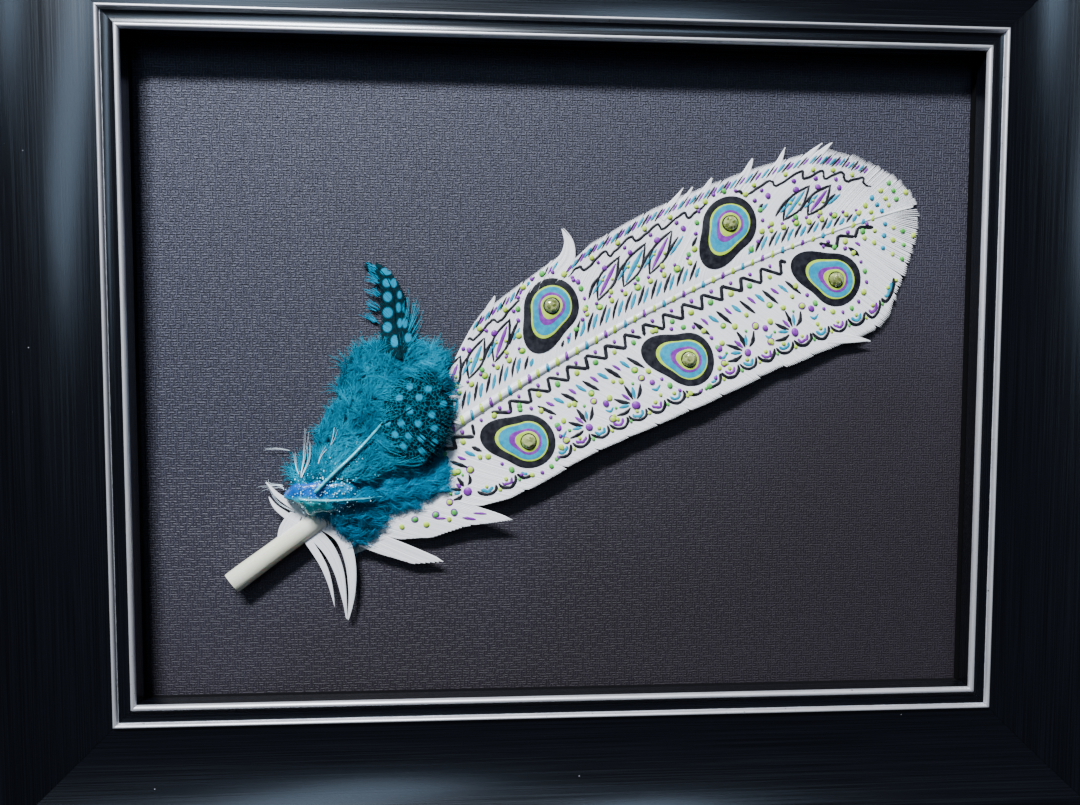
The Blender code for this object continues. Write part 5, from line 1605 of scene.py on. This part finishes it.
def paint_lower_vane(art):
    """A zigzag by the shaft, a rain of strokes, fans between the drops, and scallops near the edge."""
    corners = [(root, 0.2 if number % 2 else 0.075) for number, root in enumerate(np.arange(80.0, 306.0, 4.6))]
    for first, second in zip(corners, corners[1:], strict=False):
        art.stroke("black", [along_barb(-1, *first), along_barb(-1, *second)], 1.55, taper=0.07, stations=8)
    for number, (root, share) in enumerate(corners):
        if number % 2:
            art.dot("purple", along_barb(-1, root - 0.6, 0.085), 0.85)
        else:
            art.dot("lime" if number % 4 else "green", along_barb(-1, root + 0.2, 0.175), 1.15)
    for number, root in enumerate(np.arange(82.0, 298.0, 3.6)):
        colour, width = (("turquoise", 1.5), ("black", 1.75), ("purple", 1.3))[number % 3]
        low, high = 0.27, (0.37, 0.43, 0.35)[number % 3]
        art.stroke(colour, [along_barb(-1, root, share) for share in (low, (low + high) / 2, high)], width)
        if number % 3 == 0:
            art.dot("lime", along_barb(-1, root, 0.415), 1.0, rim="green" if number % 2 else None)
    for s, size in ((101.0, 7.0), (159.0, 9.0), (181.5, 9.5), (236.0, 9.8), (259.0, 9.5)):
        paint_fan(art, by_edge(-1, s, 0.735), size, math.atan2(1.0, -0.45))
    for s in (148.0, 170.5, 192.5, 225.0, 247.5, 270.0):
        art.dot("purple", by_edge(-1, s, 0.6), 1.3)
        art.stroke("turquoise", [by_edge(-1, s - 1.5, 0.655), by_edge(-1, s, 0.69), by_edge(-1, s + 2.2, 0.66)], 1.2)
        art.dot("lime", by_edge(-1, s + 0.4, 0.745), 0.85)
    bow = np.linspace(0, math.pi, 7)
    for number, s in enumerate(np.arange(104.0, 306.0, 9.0)):
        for colour, wide, deep, width in (("black", 4.0, 0.085, 1.45), ("turquoise", 2.2, 0.043, 1.3)):
            tint = "purple" if colour == "turquoise" and number % 2 else colour
            arch = [by_edge(-1, s + 4.5 - wide * math.cos(a), 0.8 + deep * math.sin(a)) for a in bow]
            art.stroke(tint, arch, width, taper=0.12)
        art.dot("lime", by_edge(-1, s + 4.5, 0.79), 0.8)
        art.dot("green" if number % 2 else "lime", by_edge(-1, s + 9.0, 0.86), 0.75)


def paint_ends(art):
    """Rows of dots over the tip, and a few dots and dashes on the torn lock beside the plumes."""
    for row, root in enumerate((299.0, 304.5, 310.0)):
        for side in (-1, 1):
            for number, share in enumerate(np.arange(0.28, 0.93, 0.15 + 0.03 * row)):
                colour = ("lime", "lime", "turquoise", "lime", "green")[(number + row) % 5]
                art.dot(colour, along_barb(side, root, share), 1.0)
    for number, (root, share) in enumerate([(58, 0.66), (63, 0.62), (62, 0.76), (68, 0.66), (67, 0.8), (72.5, 0.7)]):
        art.dot(("lime", "green")[number % 2], along_barb(-1, root, share), 1.15, rim=(None, "purple")[number % 2])
    for root, share in ((70.0, 0.83), (75.0, 0.78), (65.5, 0.71)):
        art.stroke("purple", [along_barb(-1, root, share), along_barb(-1, root + 1.5, share + 0.06)], 1.1)


def paint_material(name, colour, streaked):
    made, nodes, shader = new_material(f"paint_{name}", roughness=0.36, specular_ior_level=0.35)
    vector = object_vector(nodes)
    tone = nodes.noise(vector, 420.0, 4.0, 0.65)
    feed(
        nodes, shader, base_color=nodes.mix(nodes.step(tone, 0.35, 0.7), colour, streaked),
        roughness=nodes.step(tone, 0.3, 0.7, 0.3, 0.5),
    )
    return made


PAINTS = {
    "black": ((0.006, 0.006, 0.01), (0.016, 0.017, 0.024)),
    "turquoise": ((0.0, 0.24, 0.42), (0.0, 0.36, 0.54)),
    "purple": ((0.16, 0.015, 0.3), (0.26, 0.04, 0.42)),
    "lime": ((0.4, 0.62, 0.025), (0.56, 0.76, 0.08)),
    "green": ((0.05, 0.38, 0.05), (0.12, 0.54, 0.1)),
}


def build_painting(settings):
    art = Painting(settings.seed)
    paint_drops(art)
    paint_shaft(art)
    paint_upper_vane(art)
    paint_lower_vane(art)
    paint_ends(art)
    for colour, (plain, streaked) in PAINTS.items():
        art.build(colour, paint_material(colour, plain, streaked))


# Stage


def build_stage(settings):
    """A pale floor, a dim cool room and one large soft window light, with the camera over the frame."""
    size = 2200.0
    x, y = np.meshgrid([-size, size], [-size, size])
    top = np.stack([x, y, np.full(x.shape, -0.05)], -1).reshape(-1, 3)
    points, faces = close_sheet(top, top - [0, 0, 20.0], grid_quads(2, 2))
    pale, nodes, shader = new_material("pale_floor", roughness=0.8)
    tone = nodes.noise(object_vector(nodes), 3.0, 2.0)
    feed(nodes, shader, base_color=nodes.mix(tone, (0.6, 0.6, 0.6), (0.66, 0.66, 0.66)))
    floor = mesh_object("floor", points, faces, pale, smooth=False)
    world = bpy.data.worlds.new("room")
    bpy.context.scene.world = world
    world.use_nodes = True
    background = world.node_tree.nodes["Background"]
    background.inputs["Color"].default_value = (*settings.room_colour, 1.0)
    background.inputs["Strength"].default_value = settings.room_strength
    lights = {
        "window": ((-400, 1080, 890), (460, 150), settings.window_power, (0.93, 0.96, 1.0)),
        "sky_left": ((-450, 500, 1300), (300, 820), 0.65 * settings.sky_power, (0.6, 0.79, 1.0)),
        "sky_right": ((300, 780, 1300), (300, 300), 0.35 * settings.sky_power, (0.6, 0.79, 1.0)),
    }
    for name, (position, sides, power, colour) in lights.items():
        data = bpy.data.lights.new(name, "AREA")
        data.shape = "RECTANGLE"
        data.size, data.size_y = (side * MM for side in sides)
        data.energy = power
        data.color = colour
        lamp = bpy.data.objects.new(name, data)
        lamp.location = [value * MM for value in position]
        lamp.rotation_euler = (-lamp.location).to_track_quat("-Z", "Y").to_euler()
        bpy.context.scene.collection.objects.link(lamp)
    data = bpy.data.cameras.new("photo_view")
    data.lens = settings.lens
    data.sensor_width = 36.0
    data.clip_start = 0.01
    camera = bpy.data.objects.new("photo_view", data)
    camera.matrix_world = camera_matrix()
    bpy.context.scene.collection.objects.link(camera)
    bpy.context.scene.camera = camera


def camera_matrix():
    """The camera's place and axes, looking down on the frame from a little left of its middle."""
    forward = Vector((0.05338, -0.04813, -0.99741)).normalized()
    up = Vector((0.00107, 0.99884, -0.04815))
    right = forward.cross(up).normalized()
    up = right.cross(forward)
    place_at = Vector((-26.09, 2.98, 315.03)) * MM
    rows = [(right[k], up[k], -forward[k], place_at[k]) for k in range(3)]
    return Matrix([*rows, (0, 0, 0, 1)])


# Settings, operators and panel


class FrameSettings(bpy.types.PropertyGroup):
    pitch: FloatProperty(
        name="Weave pitch", description="Distance between the board's embossed threads",
        default=0.00105, unit="LENGTH",
    )


class FeatherSettings(bpy.types.PropertyGroup):
    barb_pitch: FloatProperty(
        name="Barb pitch", description="Distance between barbs along the shaft", default=0.00078, unit="LENGTH",
    )
    barb_depth: FloatProperty(
        name="Barb depth", description="Thickness of each barb", default=0.0004, unit="LENGTH",
    )
    seed: IntProperty(name="Seed", description="Seed of the barbs' small differences", default=7)


class PlumeSettings(bpy.types.PropertyGroup):
    density: FloatProperty(name="Density", description="Share of the full number of hairs", default=1.0)
    glitter: IntProperty(name="Glitter", description="Number of glitter flakes on the glue", default=380)


class StageSettings(bpy.types.PropertyGroup):
    lens: FloatProperty(
        name="Lens", description="Focal length of the camera", default=24.29, unit="CAMERA",
    )
    room_colour: FloatVectorProperty(
        name="Room colour", description="Colour of the light from all sides", default=(0.75, 0.82, 1.0),
        subtype="COLOR",
    )
    room_strength: FloatProperty(
        name="Room strength", description="Strength of the light from all sides", default=0.05,
    )
    window_power: FloatProperty(
        name="Window power", description="Power of the window light", default=58.0, unit="POWER",
    )
    sky_power: FloatProperty(
        name="Sky power", description="Power of the soft light over the frame", default=3.7, unit="POWER",
    )


class FEATHER_OT_frame(bpy.types.Operator):
    """Builds the frame's rails and the finishes of the parts behind it"""

    bl_idname = "feather.frame"
    bl_label = "Build frame"

    def execute(self, context):
        build_rails()
        build_hardware()
        return {"FINISHED"}


class FEATHER_OT_board(bpy.types.Operator):
    """Builds the embossed linen board"""

    bl_idname = "feather.board"
    bl_label = "Build board"

    def execute(self, context):
        build_board(context.scene.feather_frame)
        return {"FINISHED"}


class FEATHER_OT_white_feather(bpy.types.Operator):
    """Builds the quill and both vanes of the white feather"""

    bl_idname = "feather.white_feather"
    bl_label = "Build white feather"

    def execute(self, context):
        settings = context.scene.feather_white
        finish = feather_material()
        build_vane("upper_vane", 1, UPPER_LOCKS, settings, finish, settings.seed)
        build_vane("lower_vane", -1, LOWER_LOCKS, settings, finish, settings.seed + 1)
        build_shaft(shaft_material())
        return {"FINISHED"}


class FEATHER_OT_painting(bpy.types.Operator):
    """Builds the painted pattern on the vanes, one mesh for each colour"""

    bl_idname = "feather.painting"
    bl_label = "Build painting"

    def execute(self, context):
        build_painting(context.scene.feather_white)
        return {"FINISHED"}


class FEATHER_OT_plumes(bpy.types.Operator):
    """Builds the dyed plumes with their quills"""

    bl_idname = "feather.plumes"
    bl_label = "Build plumes"

    def execute(self, context):
        build_plumes(context.scene.feather_plumes)
        return {"FINISHED"}


class FEATHER_OT_trimmings(bpy.types.Operator):
    """Builds the glue with its glitter, the card, the loose white hairs and the stones"""

    bl_idname = "feather.trimmings"
    bl_label = "Build trimmings"

    def execute(self, context):
        build_glue(context.scene.feather_plumes)
        build_card_and_wisps()
        build_gems()
        return {"FINISHED"}


class FEATHER_OT_stage(bpy.types.Operator):
    """Builds the floor, lights and camera"""

    bl_idname = "feather.stage"
    bl_label = "Build stage"

    def execute(self, context):
        build_stage(context.scene.feather_stage)
        return {"FINISHED"}


class FEATHER_PT_panel(bpy.types.Panel):
    bl_label = "Framed feather"
    bl_idname = "FEATHER_PT_panel"
    bl_space_type = "VIEW_3D"
    bl_region_type = "UI"
    bl_category = "Feather"

    def draw(self, context):
        for operator in OPERATORS:
            self.layout.operator(operator.bl_idname)


OPERATORS = [
    FEATHER_OT_frame, FEATHER_OT_board, FEATHER_OT_white_feather, FEATHER_OT_painting, FEATHER_OT_plumes,
    FEATHER_OT_trimmings, FEATHER_OT_stage,
]
SETTINGS = {
    "feather_frame": FrameSettings, "feather_white": FeatherSettings, "feather_plumes": PlumeSettings,
    "feather_stage": StageSettings,
}

def register():
    for item in (*SETTINGS.values(), *OPERATORS, FEATHER_PT_panel):
        bpy.utils.register_class(item)
    for name, group in SETTINGS.items():
        setattr(bpy.types.Scene, name, PointerProperty(type=group))


def unregister():
    for name in SETTINGS:
        delattr(bpy.types.Scene, name)
    for item in (FEATHER_PT_panel, *reversed(OPERATORS), *SETTINGS.values()):
        bpy.utils.unregister_class(item)


def main():
    register()
    bpy.ops.feather.frame()
    bpy.ops.feather.board()
    bpy.ops.feather.white_feather()
    bpy.ops.feather.painting()
    bpy.ops.feather.plumes()
    bpy.ops.feather.trimmings()
    bpy.ops.feather.stage()


if __name__ == "__main__":
    main()
